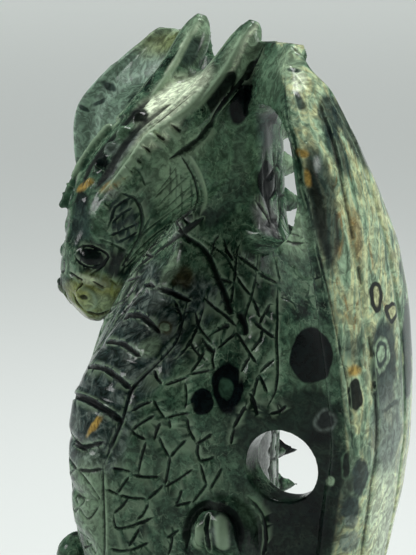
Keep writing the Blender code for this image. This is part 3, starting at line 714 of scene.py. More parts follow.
def loft(name, rings):
    """A closed skin over rings of equally many points, capped at both ends."""
    count = len(rings[0])
    points = [p for ring in rings for p in ring]
    faces = []
    for row in range(len(rings) - 1):
        for k in range(count):
            here, there = row * count, (row + 1) * count
            after = (k + 1) % count
            faces.append((here + k, here + after, there + after, there + k))
    faces.append(tuple(reversed(range(count))))
    faces.append(tuple(range(len(points) - count, len(points))))
    return mesh_object(name, points, faces)


def mirrored(points):
    """The same places on the dragon's other side."""
    return [(-p[0], *p[1:]) for p in points]


def ball(name, middle, radii, turn=None):
    """An ellipsoid."""
    mesh = bpy.data.meshes.new(name)
    shape = bmesh.new()
    bmesh.ops.create_uvsphere(shape, u_segments=40, v_segments=24, radius=1)
    size = Matrix.Diagonal(Vector((*radii, 1)))
    place = Matrix.Translation(Vector(middle) * MM) @ Matrix.Scale(MM, 4)
    bmesh.ops.transform(shape, matrix=place @ (turn or Matrix()) @ size, verts=shape.verts)
    shape.to_mesh(mesh)
    shape.free()
    return placed(name, mesh)


def tapered_tube(name, points, sides=28):
    """A round bar through points, each with its own radius."""
    rows = refine(points, 10)
    middles = rows[:, :3]
    radii = np.maximum(rows[:, 3], 0.4)
    ways = np.gradient(middles, axis=0)
    ways /= np.linalg.norm(ways, axis=1)[:, None]
    side = np.cross(ways[0], (0.31, 0.17, 0.93))
    rings = []
    for middle, way, radius in zip(middles, ways, radii):
        side = side - way * np.dot(side, way)
        side /= np.linalg.norm(side)
        other = np.cross(way, side)
        turns = np.linspace(0, 2 * math.pi, sides, endpoint=False)
        rings.append([middle + radius * (math.cos(t) * side + math.sin(t) * other) for t in turns])
    return loft(name, rings)


def trunk_blank():
    """Trunk and neck."""
    rings = []
    for z, front, band, band_y, flank_x, flank_y, rear_x, rear_y, back in refine(TRUNK, 8):
        half = [(band, band_y), ((band + flank_x) / 2, (band_y + flank_y) / 2 - 1.5), (flank_x, flank_y)]
        half += [((flank_x + rear_x) / 2 + 1.5, (flank_y + rear_y) / 2), (rear_x, rear_y)]
        other = [(-x, y) for x, y in reversed(half)]
        outline = refine_ring([(0, front), *half, (0, back), *other], 10)
        rings.append([(x, y, z) for x, y in outline])
    return loft("trunk", rings)


def wing_rings(side):
    """Level sections of a wing: a blunt nose at the leading rib, thinning to the trailing edge."""
    cut_half = GROOVE_WIDTH / 2
    rings = []
    for z, lead_x, lead_y, trail_x, trail_y in refine(WING, 9):
        lead = np.array((lead_x, lead_y))
        chord = np.array((trail_x, trail_y)) - lead
        length = np.hypot(*chord)
        along = chord / length
        out = np.array((along[1], -along[0]))
        fullness = min(1, length / 25)
        thickness = np.interp(z, *WING_THINNING) * (0.6 + 0.4 * fullness)
        middles = [table_at(CUTS, column, z) for column in (1, 2)]
        shares = [(1 - math.cos(turn)) / 2 for turn in np.linspace(0, math.pi, WING_POINTS)]
        edges = [middle + step * cut_half / length for middle in middles for step in CUT_STEPS]
        spots = [(share, 1) for share in sorted(shares + edges)]
        spots += [(share, -1) for share in shares[-2:0:-1]]
        ring = []
        for share, face in spots:
            ends = math.sqrt(max(0, 1 - abs(2 * share - 1) ** WING_ROUND))
            half = (WING_FRONT + (WING_BACK - WING_FRONT) * share**0.7) / 2 * thickness
            bulge = WING_BULGE * fullness * 4 * share * (1 - share)
            near = min(abs(share - middle) for middle in middles) * length / cut_half
            cut_in = max(0, 1 - near) * fullness * GROOVE_DEPTH if face > 0 else 0
            spot = lead + chord * share + out * (face * ends * half + bulge - half - cut_in)
            ring.append((side * spot[0], spot[1], z))
        rings.append(ring)
    return rings


def web_rings(side):
    """Level sections of the web, from inside the trunk to the wing's leading rib."""
    rings = []
    for z, root_x, root_y, mid_x, mid_y, thick in refine(WEB, 10):
        lead_x = table_at(WING, 1, z)
        lead_y = table_at(WING, 2, z)
        end_x = lead_x - np.interp(z, *WEB_END)
        front = [(root_x, root_y), (mid_x, mid_y), (end_x, lead_y + 2.2)]
        back = [(end_x, lead_y + 7), (mid_x, mid_y + thick), (root_x, root_y + thick + 2)]
        outline = [*refine(front, 12), *refine(back, 12)]
        rings.append([(side * x, y, z) for x, y in outline])
    return rings


def window_cutter(side):
    """An oval bar through the web between neck and wing."""
    x, y, z = WINDOW_MIDDLE
    rings = []
    for reach in (-40, 40):
        ring = []
        for angle in np.linspace(0, 2 * math.pi, 72, endpoint=False):
            across = x + WINDOW_HALF_WIDTH * math.cos(angle)
            ring.append((side * across, y + reach, z + WINDOW_HALF_HEIGHT * math.sin(angle)))
        rings.append(ring)
    return loft("window_cutter", rings)


def hole_cutter(side):
    """The drill's round bar through the lower web."""
    way = np.array((side * math.sin(HOLE_TURN), -math.cos(HOLE_TURN), 0))
    middle = np.array(HOLE_MIDDLE) * (side, 1, 1)
    rows = [(*(middle + way * reach), HOLE_DIAMETER / 2) for reach in (-30, 0, 30)]
    return tapered_tube("hole_cutter", rows, 72)


def cut(blank, cutter):
    """Takes the cutter's shape out of the blank."""
    step = blank.modifiers.new(cutter.name, "BOOLEAN")
    step.object = cutter
    step.operation = "DIFFERENCE"
    step.solver = "EXACT"


def on_head(distance, height, side=0.0):
    """A place from a distance along the head's line, a height across it and an X."""
    start = np.array(HEAD_START, float)
    along = np.array(HEAD_END, float) - start
    along /= np.linalg.norm(along)
    across = np.array((0, along[2], -along[1]))
    spot = start + along * distance + across * height
    return (side, spot[1], spot[2])


def head_blank():
    """The head from nape to snout."""
    rings = []
    for distance, top, bottom, brow, jaw in refine(HEAD, 8):
        deep = top - bottom
        half = [(brow * 0.55, top), (brow, top - 0.12 * deep), (jaw, (top + bottom) / 2)]
        half += [(jaw * 0.86, bottom + 0.2 * deep), (jaw * 0.45, bottom + 0.03 * deep)]
        other = [(-x, h) for x, h in reversed(half)]
        outline = refine_ring([(0, top + 0.4), *half, (0, bottom), *other], 10)
        rings.append([on_head(distance, h, x) for x, h in outline])
    return loft("head", rings)


def face_blanks(side):
    """Brow teeth, cheek, eye and nostril wing of one side."""
    made = []
    brow = spaced(BROW, 0.5)
    tilt = Matrix.Rotation(math.radians(-48), 4, "X")
    for k in range(BROW_TEETH):
        distance, height, x = brow[int(k * (len(brow) - 1) / (BROW_TEETH - 1))]
        middle = on_head(distance, height, side * x)
        made.append(ball("brow_tooth", middle, TOOTH_RADII, tilt))
    made.append(ball("cheek", on_head(46, 8, side * 7.6), (4.6, 6.2, 6.2)))
    made.append(ball("eye", on_head(54, 6, side * 7), (3, 3.6, 3.2)))
    made.append(ball("nostril", on_head(62.3, 0.2, side * 5.6), (3, 2.9, 2.9)))
    return made


def crest_blanks():
    """Beads along the middle of the crown."""
    made = []
    for distance, height in CREST:
        radii = (CREST_RADIUS * 0.8, CREST_RADIUS, CREST_RADIUS)
        made.append(ball("crest", on_head(distance, height - CREST_RADIUS * 0.6), radii))
    return made


def spike_blanks():
    """Four-sided teeth whose tips lean down the back."""
    made = []
    count = int((SPIKE_TOP - SPIKE_BOTTOM) / SPIKE_PITCH)
    for k in range(count + 1):
        z = SPIKE_TOP - k * SPIKE_PITCH
        root = table_at(TRUNK, -1, z)
        over = z + SPIKE_PITCH * SPIKE_OVERLAP
        under = z - SPIKE_PITCH * SPIKE_OVERLAP
        high = (0, table_at(TRUNK, -1, over) - 3, over)
        low = (0, table_at(TRUNK, -1, under) - 3, under)
        sides = [(SPIKE_HALF_WIDTH, root - 4, z), (-SPIKE_HALF_WIDTH, root - 4, z)]
        points = [*sides, high, low, (0, root + SPIKE_REACH, z - SPIKE_DROP), (0, root - 8, z)]
        made.append(mesh_object("spike", points, SPIKE_FACES))
    return made


def plate_blanks():
    """Belly plates: a bulged pad for each, with a narrow cleft between one and the next."""
    made = []
    for top, bottom in zip(PLATE_JOINTS, PLATE_JOINTS[1:]):
        rings = []
        for share in np.linspace(0, 1, 17):
            z = top + (bottom - top) * share
            front = table_at(TRUNK, 1, z)
            band = table_at(TRUNK, 2, z)
            proud = PLATE_STEP * np.interp(share, *np.array(PLATE_ROUND).T)
            edge = (band, front + 2.4 - proud * 0.6)
            half = [(0, front - proud), (band * 0.6, front + 0.6 - proud), edge]
            face = refine([(-x, y) for x, y in reversed(half[1:])] + half, 5)
            ring = [*face, (band * 0.9, front + 9), (-band * 0.9, front + 9)]
            rings.append([(x, y, z) for x, y in ring])
        made.append(loft("plate", rings))
    return made


def limb_blanks(side):
    """Arm, leg, horn and foot of one side."""
    flip = (lambda rows: rows) if side > 0 else mirrored
    made = [
        tapered_tube("arm", flip(ARM)),
        tapered_tube("thigh", flip(THIGH), 48),
        tapered_tube("shin", flip(SHIN)),
        tapered_tube("horn", flip(HORN)),
    ]
    for name, (x, y, z), radii in ROUNDED:
        made.append(ball(name, (side * x, y, z), radii))
    x, y, z = FOOT_MIDDLE
    for k in range(TOES):
        turn = (k - (TOES - 1) / 2) * TOE_FAN
        reach = Vector((math.sin(turn), -math.cos(turn), 0)) * TOE_LENGTH
        start = Vector((x, y - 2, z - 1))
        knuckle = start + reach * 0.6 + Vector((0, 0, 0.8))
        end = start + reach + Vector((0, 0, -1))
        rows = [(*start, TOE_RADIUS), (*knuckle, TOE_RADIUS * 0.95), (*end, TOE_TIP_RADIUS)]
        made.append(tapered_tube("toe", flip(rows)))
    return made


def squared(value):
    """A sine or cosine, drawn towards the corners of the base."""
    return math.copysign(abs(value) ** BASE_CORNERS, value)


def base_blank():
    """A low rock: an oval with worn corners, narrower at the top."""
    rings = []
    for level, share in BASE_RINGS:
        z = BASE_HEIGHT * level
        ring = []
        for angle in np.linspace(0, 2 * math.pi, 144, endpoint=False):
            broad = 0.022 * (1 + math.sin(5 * angle + 0.7))
            narrow = 0.012 * (1 + math.sin(11 * angle + z * 0.15))
            wave = 1 - broad - narrow
            x = squared(math.cos(angle)) * BASE_WIDTH / 2 * share * wave
            y = BASE_CENTRE_Y + squared(math.sin(angle)) * BASE_DEPTH / 2 * share * wave
            ring.append((x, y, z))
        rings.append(ring)
    return loft("base", rings)


def fused(blanks, cutters):
    """One closed mesh over all the blanks."""
    graph = bpy.context.evaluated_depsgraph_get()
    shape = bmesh.new()
    for blank in blanks:
        mesh = bpy.data.meshes.new_from_object(blank.evaluated_get(graph))
        shape.from_mesh(mesh)
        bpy.data.meshes.remove(mesh)
    mesh = bpy.data.meshes.new("dragon_stone")
    shape.to_mesh(mesh)
    shape.free()
    for item in [*blanks, *cutters]:
        bpy.data.objects.remove(item, do_unlink=True)
    made = placed("dragon_stone", mesh)
    fuse = made.modifiers.new("fuse", "REMESH")
    fuse.mode = "VOXEL"
    fuse.voxel_size = CELL * MM
    apply_modifiers(made)
    return made


def apply_modifiers(made):
    """Puts the object's modified mesh in place of its own."""
    graph = bpy.context.evaluated_depsgraph_get()
    mesh = bpy.data.meshes.new_from_object(made.evaluated_get(graph))
    old = made.data
    made.modifiers.clear()
    made.data = mesh
    bpy.data.meshes.remove(old)


def all_blanks():
    """The blanks to fuse, and the cutters that their own cuts still need."""
    cutters = []
    trunk = trunk_blank()
    blanks = [trunk, head_blank(), base_blank(), tapered_tube("tail", TAIL)]
    for side in (1, -1):
        web = loft("web", web_rings(side))
        window = window_cutter(side)
        drill = hole_cutter(side)
        cut(web, window)
        cut(web, drill)
        cut(trunk, drill)
        cutters += [window, drill]
        blanks += [web, loft("wing", wing_rings(side))]
        blanks += face_blanks(side)
        blanks += limb_blanks(side)
    blanks += [*crest_blanks(), *spike_blanks(), *plate_blanks()]
    bpy.context.view_layer.update()
    return blanks, cutters


def read_points(mesh):
    """The mesh's points in millimetres."""
    flat = np.empty(len(mesh.vertices) * 3, np.float32)
    mesh.vertices.foreach_get("co", flat)
    return flat.reshape(-1, 3).astype(float) / MM


def read_normals(mesh):
    flat = np.empty(len(mesh.vertices) * 3, np.float32)
    mesh.vertex_normals.foreach_get("vector", flat)
    return flat.reshape(-1, 3).astype(float)


def write_points(mesh, points):
    mesh.vertices.foreach_set("co", (points * MM).astype(np.float32).ravel())
    mesh.update()


def step_up(value, low, high):
    """0 below low, 1 above high, and smooth between."""
    share = np.clip((value - low) / (high - low), 0, 1)
    return share * share * (3 - 2 * share)


def relax(mesh, points, rounds, amount):
    """Draws each point towards the middle of its neighbours by its own amount."""
    edges = np.empty(len(mesh.edges) * 2, np.int32)
    mesh.edges.foreach_get("vertices", edges)
    edges = edges.reshape(-1, 2)
    ends = np.concatenate((edges[:, 0], edges[:, 1]))
    others = np.concatenate((edges[:, 1], edges[:, 0]))
    counts = np.bincount(ends, minlength=len(points))
    for _ in range(rounds):
        sums = [np.bincount(ends, points[others, k], len(points)) for k in range(3)]
        means = np.stack(sums, axis=1) / counts[:, None]
        points = points + (means - points) * amount[:, None]
    return points


def ripple(points, size, seed):
    """Gentle unevenness between -1 and 1 from waves in many directions, about `size` mm long."""
    chance = np.random.default_rng(seed)
    total = np.zeros(len(points))
    waves = 14
    for _ in range(waves):
        way = chance.normal(size=3)
        way /= np.linalg.norm(way) * size * chance.uniform(0.7, 1.5) / (2 * math.pi)
        total += np.sin(points @ way + chance.uniform(0, 2 * math.pi))
    return total / math.sqrt(waves)


def cell_walls(points, pitch, jitter):
    """Distance in millimetres from each point to the nearest wall between irregular cells."""
    grid = points / pitch
    home = np.floor(grid)
    nearest = np.full(len(points), 9.0)
    second = nearest.copy()
    for step in itertools.product((-1, 0, 1), repeat=3):
        cell = home + step
        lots = [np.sin(cell @ np.array(way)) * CELL_FACTOR for way in CELL_WAYS]
        chance = np.stack([lot - np.floor(lot) for lot in lots], axis=1)
        centre = cell + 0.5 + jitter * (chance - 0.5)
        gap = np.linalg.norm(grid - centre, axis=1)
        second = np.minimum(second, np.maximum(nearest, gap))
        nearest = np.minimum(nearest, gap)
    return (second - nearest) / 2 * pitch


def pixel_ray(pixel):
    """Start and direction, in metres, of the photo's ray through a pixel."""
    right = (pixel[0] - PHOTO_SIZE[0] / 2) * PIXEL
    up = (PHOTO_SIZE[1] / 2 - pixel[1]) * PIXEL
    start = VIEW_TARGET + TOWARD * VIEW_DISTANCE
    way = ACROSS * right + UPWARD * up - TOWARD * VIEW_DISTANCE
    return Vector(start * MM), Vector(way).normalized()


def seen_place(tree, pixel):
    """The place on the surface under a pixel of the photo, in millimetres, or None."""
    spot = tree.ray_cast(*pixel_ray(pixel))[0]
    return None if spot is None else np.array(spot) / MM


def seen_line(tree, pixels):
    """Closely spaced places on the surface under a line drawn in the photo."""
    found = [seen_place(tree, pixel) for pixel in spaced(pixels, 0.8)]
    return [spot for spot in found if spot is not None]


def wing_lines(tree):
    """The thin line along each long cut of both wings."""
    found = []
    for side, column in itertools.product((1, -1), (1, 2)):
        line = []
        for z in WING_LINE_HEIGHTS:
            lead = np.array([table_at(WING, k, z) for k in (1, 2)])
            trail = np.array([table_at(WING, k, z) for k in (3, 4)])
            chord = trail - lead
            share = table_at(CUTS, column, z)
            out = np.array((chord[1], -chord[0])) / np.hypot(*chord) * WING_BULGE
            x, y = lead + chord * share + out
            line.append(np.array(tree.find_nearest(Vector((side * x, y, z)) * MM)[0]) / MM)
        found.append((line, WING_LINE_HALF_WIDTH, WING_LINE_DEPTH))
    return found


def carved_lines(tree):
    """Every engraved line on the surface: its points, half-width and depth, on both sides."""
    plans = [*HEAD_LINES, *BODY_LINES]
    plans += [(SCALE_HALF_WIDTH, SCALE_DEPTH, pixels) for pixels in SCALE_LINES]
    right, down = TOOTH_WAY
    for x, y, size in TEETH:
        tip = (x + right * size, y + down * size)
        notch = (x + down * size * NOTCH_GAP, y - right * size * NOTCH_GAP)
        end = (notch[0] + right * size * NOTCH_LENGTH, notch[1] + down * size * NOTCH_LENGTH)
        plans.append((size * TOOTH_SIZES[0], -size * TOOTH_SIZES[1], ((x, y), tip)))
        plans.append((size * NOTCH_SIZES[0], size * NOTCH_SIZES[1], (notch, end)))
    found = []
    for half, depth, pixels in plans:
        near = seen_line(tree, pixels)
        if len(near) < 2:
            continue
        found.append((near, half, depth))
        far = []
        for spot in mirrored(near):
            place = tree.find_nearest(Vector(spot) * MM)[0]
            far.append(np.array(place) / MM)
        found.append((far, half, depth))
    return found + wing_lines(tree)


def point_tree(points):
    """A tree that finds the points near a place."""
    tree = KDTree(len(points))
    for index, point in enumerate(points):
        tree.insert(point, index)
    tree.balance()
    return tree


def refined_near(made, lines):
    """Splits the faces beside the engraved lines, for a clean edge."""
    tree = point_tree(read_points(made.data))
    marked = np.zeros(len(made.data.vertices), bool)
    for spots, half, _ in lines:
        for spot in spots[::2]:
            for _, index, _ in tree.find_range(spot, min(half, SPLIT_HALF_WIDTH) + SPLIT_MARGIN):
                marked[index] = True
    shape = bmesh.new()
    shape.from_mesh(made.data)
    edges = [edge for edge in shape.edges if all(marked[end.index] for end in edge.verts)]
    bmesh.ops.subdivide_edges(shape, edges=edges, cuts=1, use_grid_fill=True)
    shape.to_mesh(made.data)
    shape.free()


def engraved(points, lines):
    """How far each point moves in or out under the lines, and how strong a painted highlight its rim
    beside a cut gets.
    """
    tree = point_tree(points)
    sunk = np.zeros(len(points))
    raised = np.zeros(len(points))
    rim_highlight = np.zeros(len(points))
    for spots, half, depth in lines:
        for k, spot in enumerate(spots):
            share = k / max(1, len(spots) - 1)
            taper = min(1, LINE_END_WIDTH + LINE_END_RATE * min(share, 1 - share))
            reach = half * taper
            for _, index, gap in tree.find_range(spot, reach * (1 + HIGHLIGHT_RIM_REACH)):
                near = gap / reach
                if depth < 0:
                    lift = -depth * taper * max(0, 1 - near) ** 0.5 * max(0, 1 - near * near)
                    raised[index] = max(raised[index], lift)
                    continue
                if near < 1:
                    sunk[index] = max(sunk[index], depth * taper * (1 - near))
                elif half < HIGHLIGHT_RIM_WIDEST_LINE:
                    rim_highlight[index] = max(rim_highlight[index], 1 - (near - 1) / HIGHLIGHT_RIM_REACH)
    return sunk, raised, rim_highlight * (sunk == 0)


def scaled_area(points):
    """Where the plain sides carry scales: low down, round the back, on legs and tail."""
    x, y, z = np.abs(points[:, 0]), points[:, 1], points[:, 2]
    wide, deep = WING_SLOPE
    lead = table_at(WING, 1, z) * wide + table_at(WING, 2, z) * deep
    off_wing = step_up(lead - (x * wide + y * deep), 5, 7)
    front = table_at(TRUNK, 1, z)
    off_plates = step_up(np.maximum(y - front, x - 13), 6, 8)
    low = step_up(-z, -70, -66) * step_up(z, 15, 17)
    back = step_up(-x, -60, -58) * step_up(y, 14, 16) * step_up(-z, -190, -180)
    return np.maximum(low * off_plates, back * off_wing) * off_wing * step_up(-x, -44, -42)


def carve(made):
    """Smooths the joins, then cuts the lines, scales, plates' edges and the rock."""
    mesh = made.data
    points = read_points(mesh)
    x, y, z = np.abs(points[:, 0]), points[:, 1], points[:, 2]
    join = step_up(x, 14, 20) * step_up(-x, -46, -38) * step_up(z, 108, 120) * step_up(-z, -165, -156)
    join *= step_up(-y, -14, -8)
    points = relax(mesh, points, 40, join * 0.9)
    points = relax(mesh, points, 3, np.full(len(points), 0.5))
    write_points(mesh, points)
    tree = BVHTree.FromObject(made, bpy.context.evaluated_depsgraph_get())
    lines = carved_lines(tree)
    refined_near(made, lines)
    points = read_points(mesh)
    normals = read_normals(mesh)
    sunk, raised, rim_highlight = engraved(points, lines)
    area = scaled_area(points)
    picked = np.flatnonzero(area > 0.01)
    wave = ripple(points[picked], BACK_SCALE_WAVE_SIZE, SEED)[:, None] * BACK_SCALE_WAVE
    walls = cell_walls(points[picked] + wave, BACK_SCALE_PITCH, BACK_SCALE_JITTER)
    strength = area[picked] * step_up(ripple(points[picked], 11, SEED + 1), -1.6, -0.6)
    scale = np.maximum(0, 1 - walls / BACK_SCALE_LINE) * strength
    sunk[picked] = np.maximum(sunk[picked], BACK_SCALE_DEPTH * scale)
    z = points[:, 2]
    rock = step_up(-z, -BASE_HEIGHT - 1, -BASE_HEIGHT + 1) * step_up(z, 0.4, 3)
    chips = np.minimum(cell_walls(points, CHIP_PITCH, CHIP_JITTER), CHIP_RANGE) * CHIP_SLOPE
    chips = chips + ripple(points, 5, SEED + 2) * 0.25
    uneven = ripple(points, UNEVEN_SIZE, SEED + 3) * UNEVEN * (z > 1)
    inward = sunk - raised + rock * (1.2 - chips) * ROCK_DEPTH - uneven
    moved = points - normals * inward[:, None]
    moved[z < 0.45, 2] = 0
    write_points(mesh, moved)
    # painted light of the lines: painted highlight on the rims beside cuts and on raised lines, painted
    # shade inside the cuts
    painted_cut_shading = np.clip(np.maximum(rim_highlight * 0.6, raised), 0, 1) - np.clip(sunk / 0.8, 0, 1)
    return tree, moved, painted_cut_shading


def thinned(made, fine, painted_cut_shading):
    """Fewer triangles where the surface is smooth, inside the solid's own box, with the cuts' painted
    highlight and painted shade.
    """
    made.data.calc_loop_triangles()
    thin = made.modifiers.new("thin", "DECIMATE")
    thin.ratio = min(1, TRIANGLE_LIMIT / len(made.data.loop_triangles))
    apply_modifiers(made)
    mesh = made.data
    points = read_points(mesh)
    tree = point_tree(fine)
    values = np.array([painted_cut_shading[tree.find(point)[1]] for point in points], np.float32)
    low, high = [np.array(corner) / MM for corner in cad_box]
    write_points(mesh, np.clip(points, low + 0.01, high - 0.01))
    layer = mesh.attributes.new("painted_cut_light_and_shade", "FLOAT", "POINT")
    layer.data.foreach_set("value", values)
    mesh.shade_smooth()


def new_node(tree, kind, inputs=(), output=0, **settings):
    """A shader node with its settings; each input is a value, a socket to link, or None."""
    made = tree.nodes.new(kind)
    for name, value in settings.items():
        setattr(made, name, value)
    for place, value in enumerate(inputs):
        if isinstance(value, bpy.types.NodeSocket):
            tree.links.new(value, made.inputs[place])
        elif value is not None:
            made.inputs[place].default_value = value
    return made.outputs[output]


def mixed(tree, share, under, over):
    """One colour over another."""
    made = tree.nodes.new("ShaderNodeMix")
    made.data_type = "RGBA"
    for name, value in ((0, share), (6, under), (7, over)):
        if isinstance(value, bpy.types.NodeSocket):
            tree.links.new(value, made.inputs[name])
        else:
            made.inputs[name].default_value = value
    return made.outputs[2]


def math_node(tree, operation, first, second=None):
    return new_node(tree, "ShaderNodeMath", (first, second), operation=operation)


def vector_node(tree, operation, *inputs, output=0):
    return new_node(tree, "ShaderNodeVectorMath", inputs, output, operation=operation)


def along_axis(tree, place, axis):
    """How far a place lies along an axis."""
    return vector_node(tree, "DOT_PRODUCT", place, tuple(axis), output=1)


def smooth_range(tree, value, low, high, start=0.0, end=1.0):
    inputs = (value, low, high, start, end)
    return new_node(tree, "ShaderNodeMapRange", inputs, interpolation_type="SMOOTHSTEP")


def noise_node(tree, place, scale, detail, output=0, rough=0.55, warp=0.0):
    inputs = (place, None, scale, detail, rough, None, None, None, warp)
    return new_node(tree, "ShaderNodeTexNoise", inputs, output)


def curve_of_height(tree, z, rows):
    """A value that follows the height by the given (height, value) rows."""
    share = math_node(tree, "DIVIDE", z, HEIGHT)
    made = tree.nodes.new("ShaderNodeFloatCurve")
    tree.links.new(share, made.inputs["Value"])
    curve = made.mapping.curves[0]
    rows = sorted(rows)
    while len(curve.points) < len(rows):
        curve.points.new(0.5, 0.5)
    for point, (height, value) in zip(curve.points, rows):
        point.location = (height / HEIGHT, value / CURVE_SPAN + 0.5)
        point.handle_type = "AUTO"
    made.mapping.update()
    centred = math_node(tree, "SUBTRACT", made.outputs[0], 0.5)
    return math_node(tree, "MULTIPLY", centred, CURVE_SPAN)


def turned_frame(tree, place, turn):
    """The photo's directions turned by some degrees in its plane, and the place along each."""
    spin = math.radians(turn)
    right = ACROSS * math.cos(spin) - UPWARD * math.sin(spin)
    up = ACROSS * math.sin(spin) + UPWARD * math.cos(spin)
    axes = np.array((right, up, TOWARD))
    along = [along_axis(tree, place, axis) for axis in axes]
    return axes, new_node(tree, "ShaderNodeCombineXYZ", along)


def patch_mask(tree, frame_axes, along, centre, radii, soft, strength):
    """The given strength inside an ellipsoid that lies along the frame's axes, 0 outside."""
    scale = 1 / np.array(radii)
    offset = -(frame_axes @ centre) * scale
    inside = vector_node(tree, "MULTIPLY_ADD", along, tuple(scale), tuple(offset))
    reach = vector_node(tree, "LENGTH", inside, output=1)
    return smooth_range(tree, reach, 1 - soft, 1 + soft, strength, 0.0)


def ramp_of(tree, value, stops):
    """A colour that follows a value through the named colours at the given stops."""
    ramp = tree.nodes.new("ShaderNodeValToRGB")
    tree.links.new(value, ramp.inputs[0])
    elements = ramp.color_ramp.elements
    while len(elements) < len(stops):
        elements.new(0.5)
    for element, (spot, name) in zip(elements, stops):
        element.position = spot
        element.color = COLOURS[name]
    return ramp.outputs[0]


def stone_base(tree, place):
    """Mottled green with darker clouds, paler veins and fine grain, and the grain itself."""
    cloud = noise_node(tree, place, 0.11, 5, rough=0.68)
    colour = ramp_of(tree, cloud, GROUND_STOPS)
    grain = noise_node(tree, place, 0.8, 3, rough=0.75)
    colour = mixed(tree, smooth_range(tree, grain, 0.54, 0.74, 0.0, 0.75), colour, COLOURS["moss"])
    colour = mixed(tree, smooth_range(tree, grain, 0.46, 0.30, 0.0, 0.9), colour, COLOURS["deep"])
    vein = noise_node(tree, place, 0.07, 4, rough=0.6)
    near = math_node(tree, "ABSOLUTE", math_node(tree, "SUBTRACT", vein, 0.5))
    thin = smooth_range(tree, near, 0.002, 0.010, 0.3, 0.0)
    colour = mixed(tree, thin, colour, COLOURS["pale"])
    far = smooth_range(tree, near, 0.10, 0.13, 0.0, 0.6)
    return mixed(tree, far, colour, COLOURS["green"]), grain


def wing_colour(tree, place, x, y, z):
    """The wings' own colours, and where they lie: behind the leading edge on both sides."""
    wide, deep = WING_SLOPE
    aside = math_node(tree, "MULTIPLY", math_node(tree, "ABSOLUTE", x), wide)
    across = math_node(tree, "ADD", aside, math_node(tree, "MULTIPLY", y, deep))
    lead = curve_of_height(tree, z, [(row[0], row[1] * wide + row[2] * deep) for row in WING])
    inner = smooth_range(tree, math_node(tree, "SUBTRACT", across, lead), -1.6, -0.6)
    mask = math_node(tree, "MULTIPLY", inner, smooth_range(tree, z, 33, 40))
    mapping = (place, (0, 0, 0), WING_GRAIN_TURN, WING_GRAIN_SCALE)
    stretched = new_node(tree, "ShaderNodeMapping", mapping)
    cloud = noise_node(tree, stretched, 0.62, 4, rough=0.56, warp=1.3)
    marble = ramp_of(tree, cloud, WING_STOPS)
    rust = noise_node(tree, stretched, 1.3, 4, rough=0.6, warp=0.8)
    off_middle = math_node(tree, "ABSOLUTE", math_node(tree, "SUBTRACT", z, RUST_MIDDLE))
    middle = smooth_range(tree, off_middle, 45, 20)
    rusty = math_node(tree, "MULTIPLY", smooth_range(tree, rust, 0.56, 0.72, 0.0, 0.8), middle)
    left = mixed(tree, rusty, marble, COLOURS["rust"])
    far_cloud = noise_node(tree, place, 0.12, 4, rough=0.6)
    right = mixed(tree, smooth_range(tree, far_cloud, 0.35, 0.62), COLOURS["mist"], COLOURS["moss"])
    colour = mixed(tree, smooth_range(tree, x, -4, 4), right, left)
    return colour, mask


def plate_colour(tree, colour, place, y, z):
    """Dark glossy belly plates with gray swirls."""
    front = curve_of_height(tree, z, [row[:2] for row in TRUNK])
    shallow = smooth_range(tree, math_node(tree, "SUBTRACT", y, front), 6.5, 4.5)
    mask = math_node(tree, "MULTIPLY", shallow, smooth_range(tree, z, 92, 97))
    mask = math_node(tree, "MULTIPLY", mask, smooth_range(tree, z, 153, 148))
    swirl = noise_node(tree, place, 0.16, 4, rough=0.6, warp=1.6)
    dark = mixed(tree, smooth_range(tree, swirl, 0.45, 0.66), COLOURS["slate"], COLOURS["gray"])
    dark = mixed(tree, smooth_range(tree, swirl, 0.46, 0.36), dark, COLOURS["deep"])
    return mixed(tree, mask, colour, dark)


def orb_colour(tree, colour, place, toward):
    """Dark round orbs with a pale ring, through the stone away from the placed ones."""
    voronoi = tree.nodes.new("ShaderNodeTexVoronoi")
    voronoi.feature = "F1"
    voronoi.inputs["Scale"].default_value = ORB_SCALE
    voronoi.inputs["Randomness"].default_value = ORB_JITTER
    tree.links.new(place, voronoi.inputs["Vector"])
    chance = new_node(tree, "ShaderNodeSeparateColor", (voronoi.outputs["Color"],))
    size = math_node(tree, "MULTIPLY_ADD", chance, ORB_SIZE_RANGE)
    size.node.inputs[2].default_value = ORB_SIZE
    inside = math_node(tree, "SUBTRACT", voronoi.outputs["Distance"], size)
    away = smooth_range(tree, toward, *ORB_FREE_DEPTH)
    ring = math_node(tree, "MULTIPLY", smooth_range(tree, inside, 0.05, 0.03), away)
    core = math_node(tree, "MULTIPLY", smooth_range(tree, inside, 0.012, -0.006), away)
    colour = mixed(tree, math_node(tree, "MULTIPLY", ring, 0.55), colour, COLOURS["moss"])
    return mixed(tree, math_node(tree, "MULTIPLY", core, 0.96), colour, COLOURS["black"])


def streaked(tree, colour, place):
    """The colour with the stone's fine lighter and darker streaks."""
    fine = noise_node(tree, place, 0.34, 5, rough=0.62, warp=1.1)
    light = smooth_range(tree, fine, 0.36, 0.66, 0.6, 1.6)
    return vector_node(tree, "MULTIPLY", colour, light)


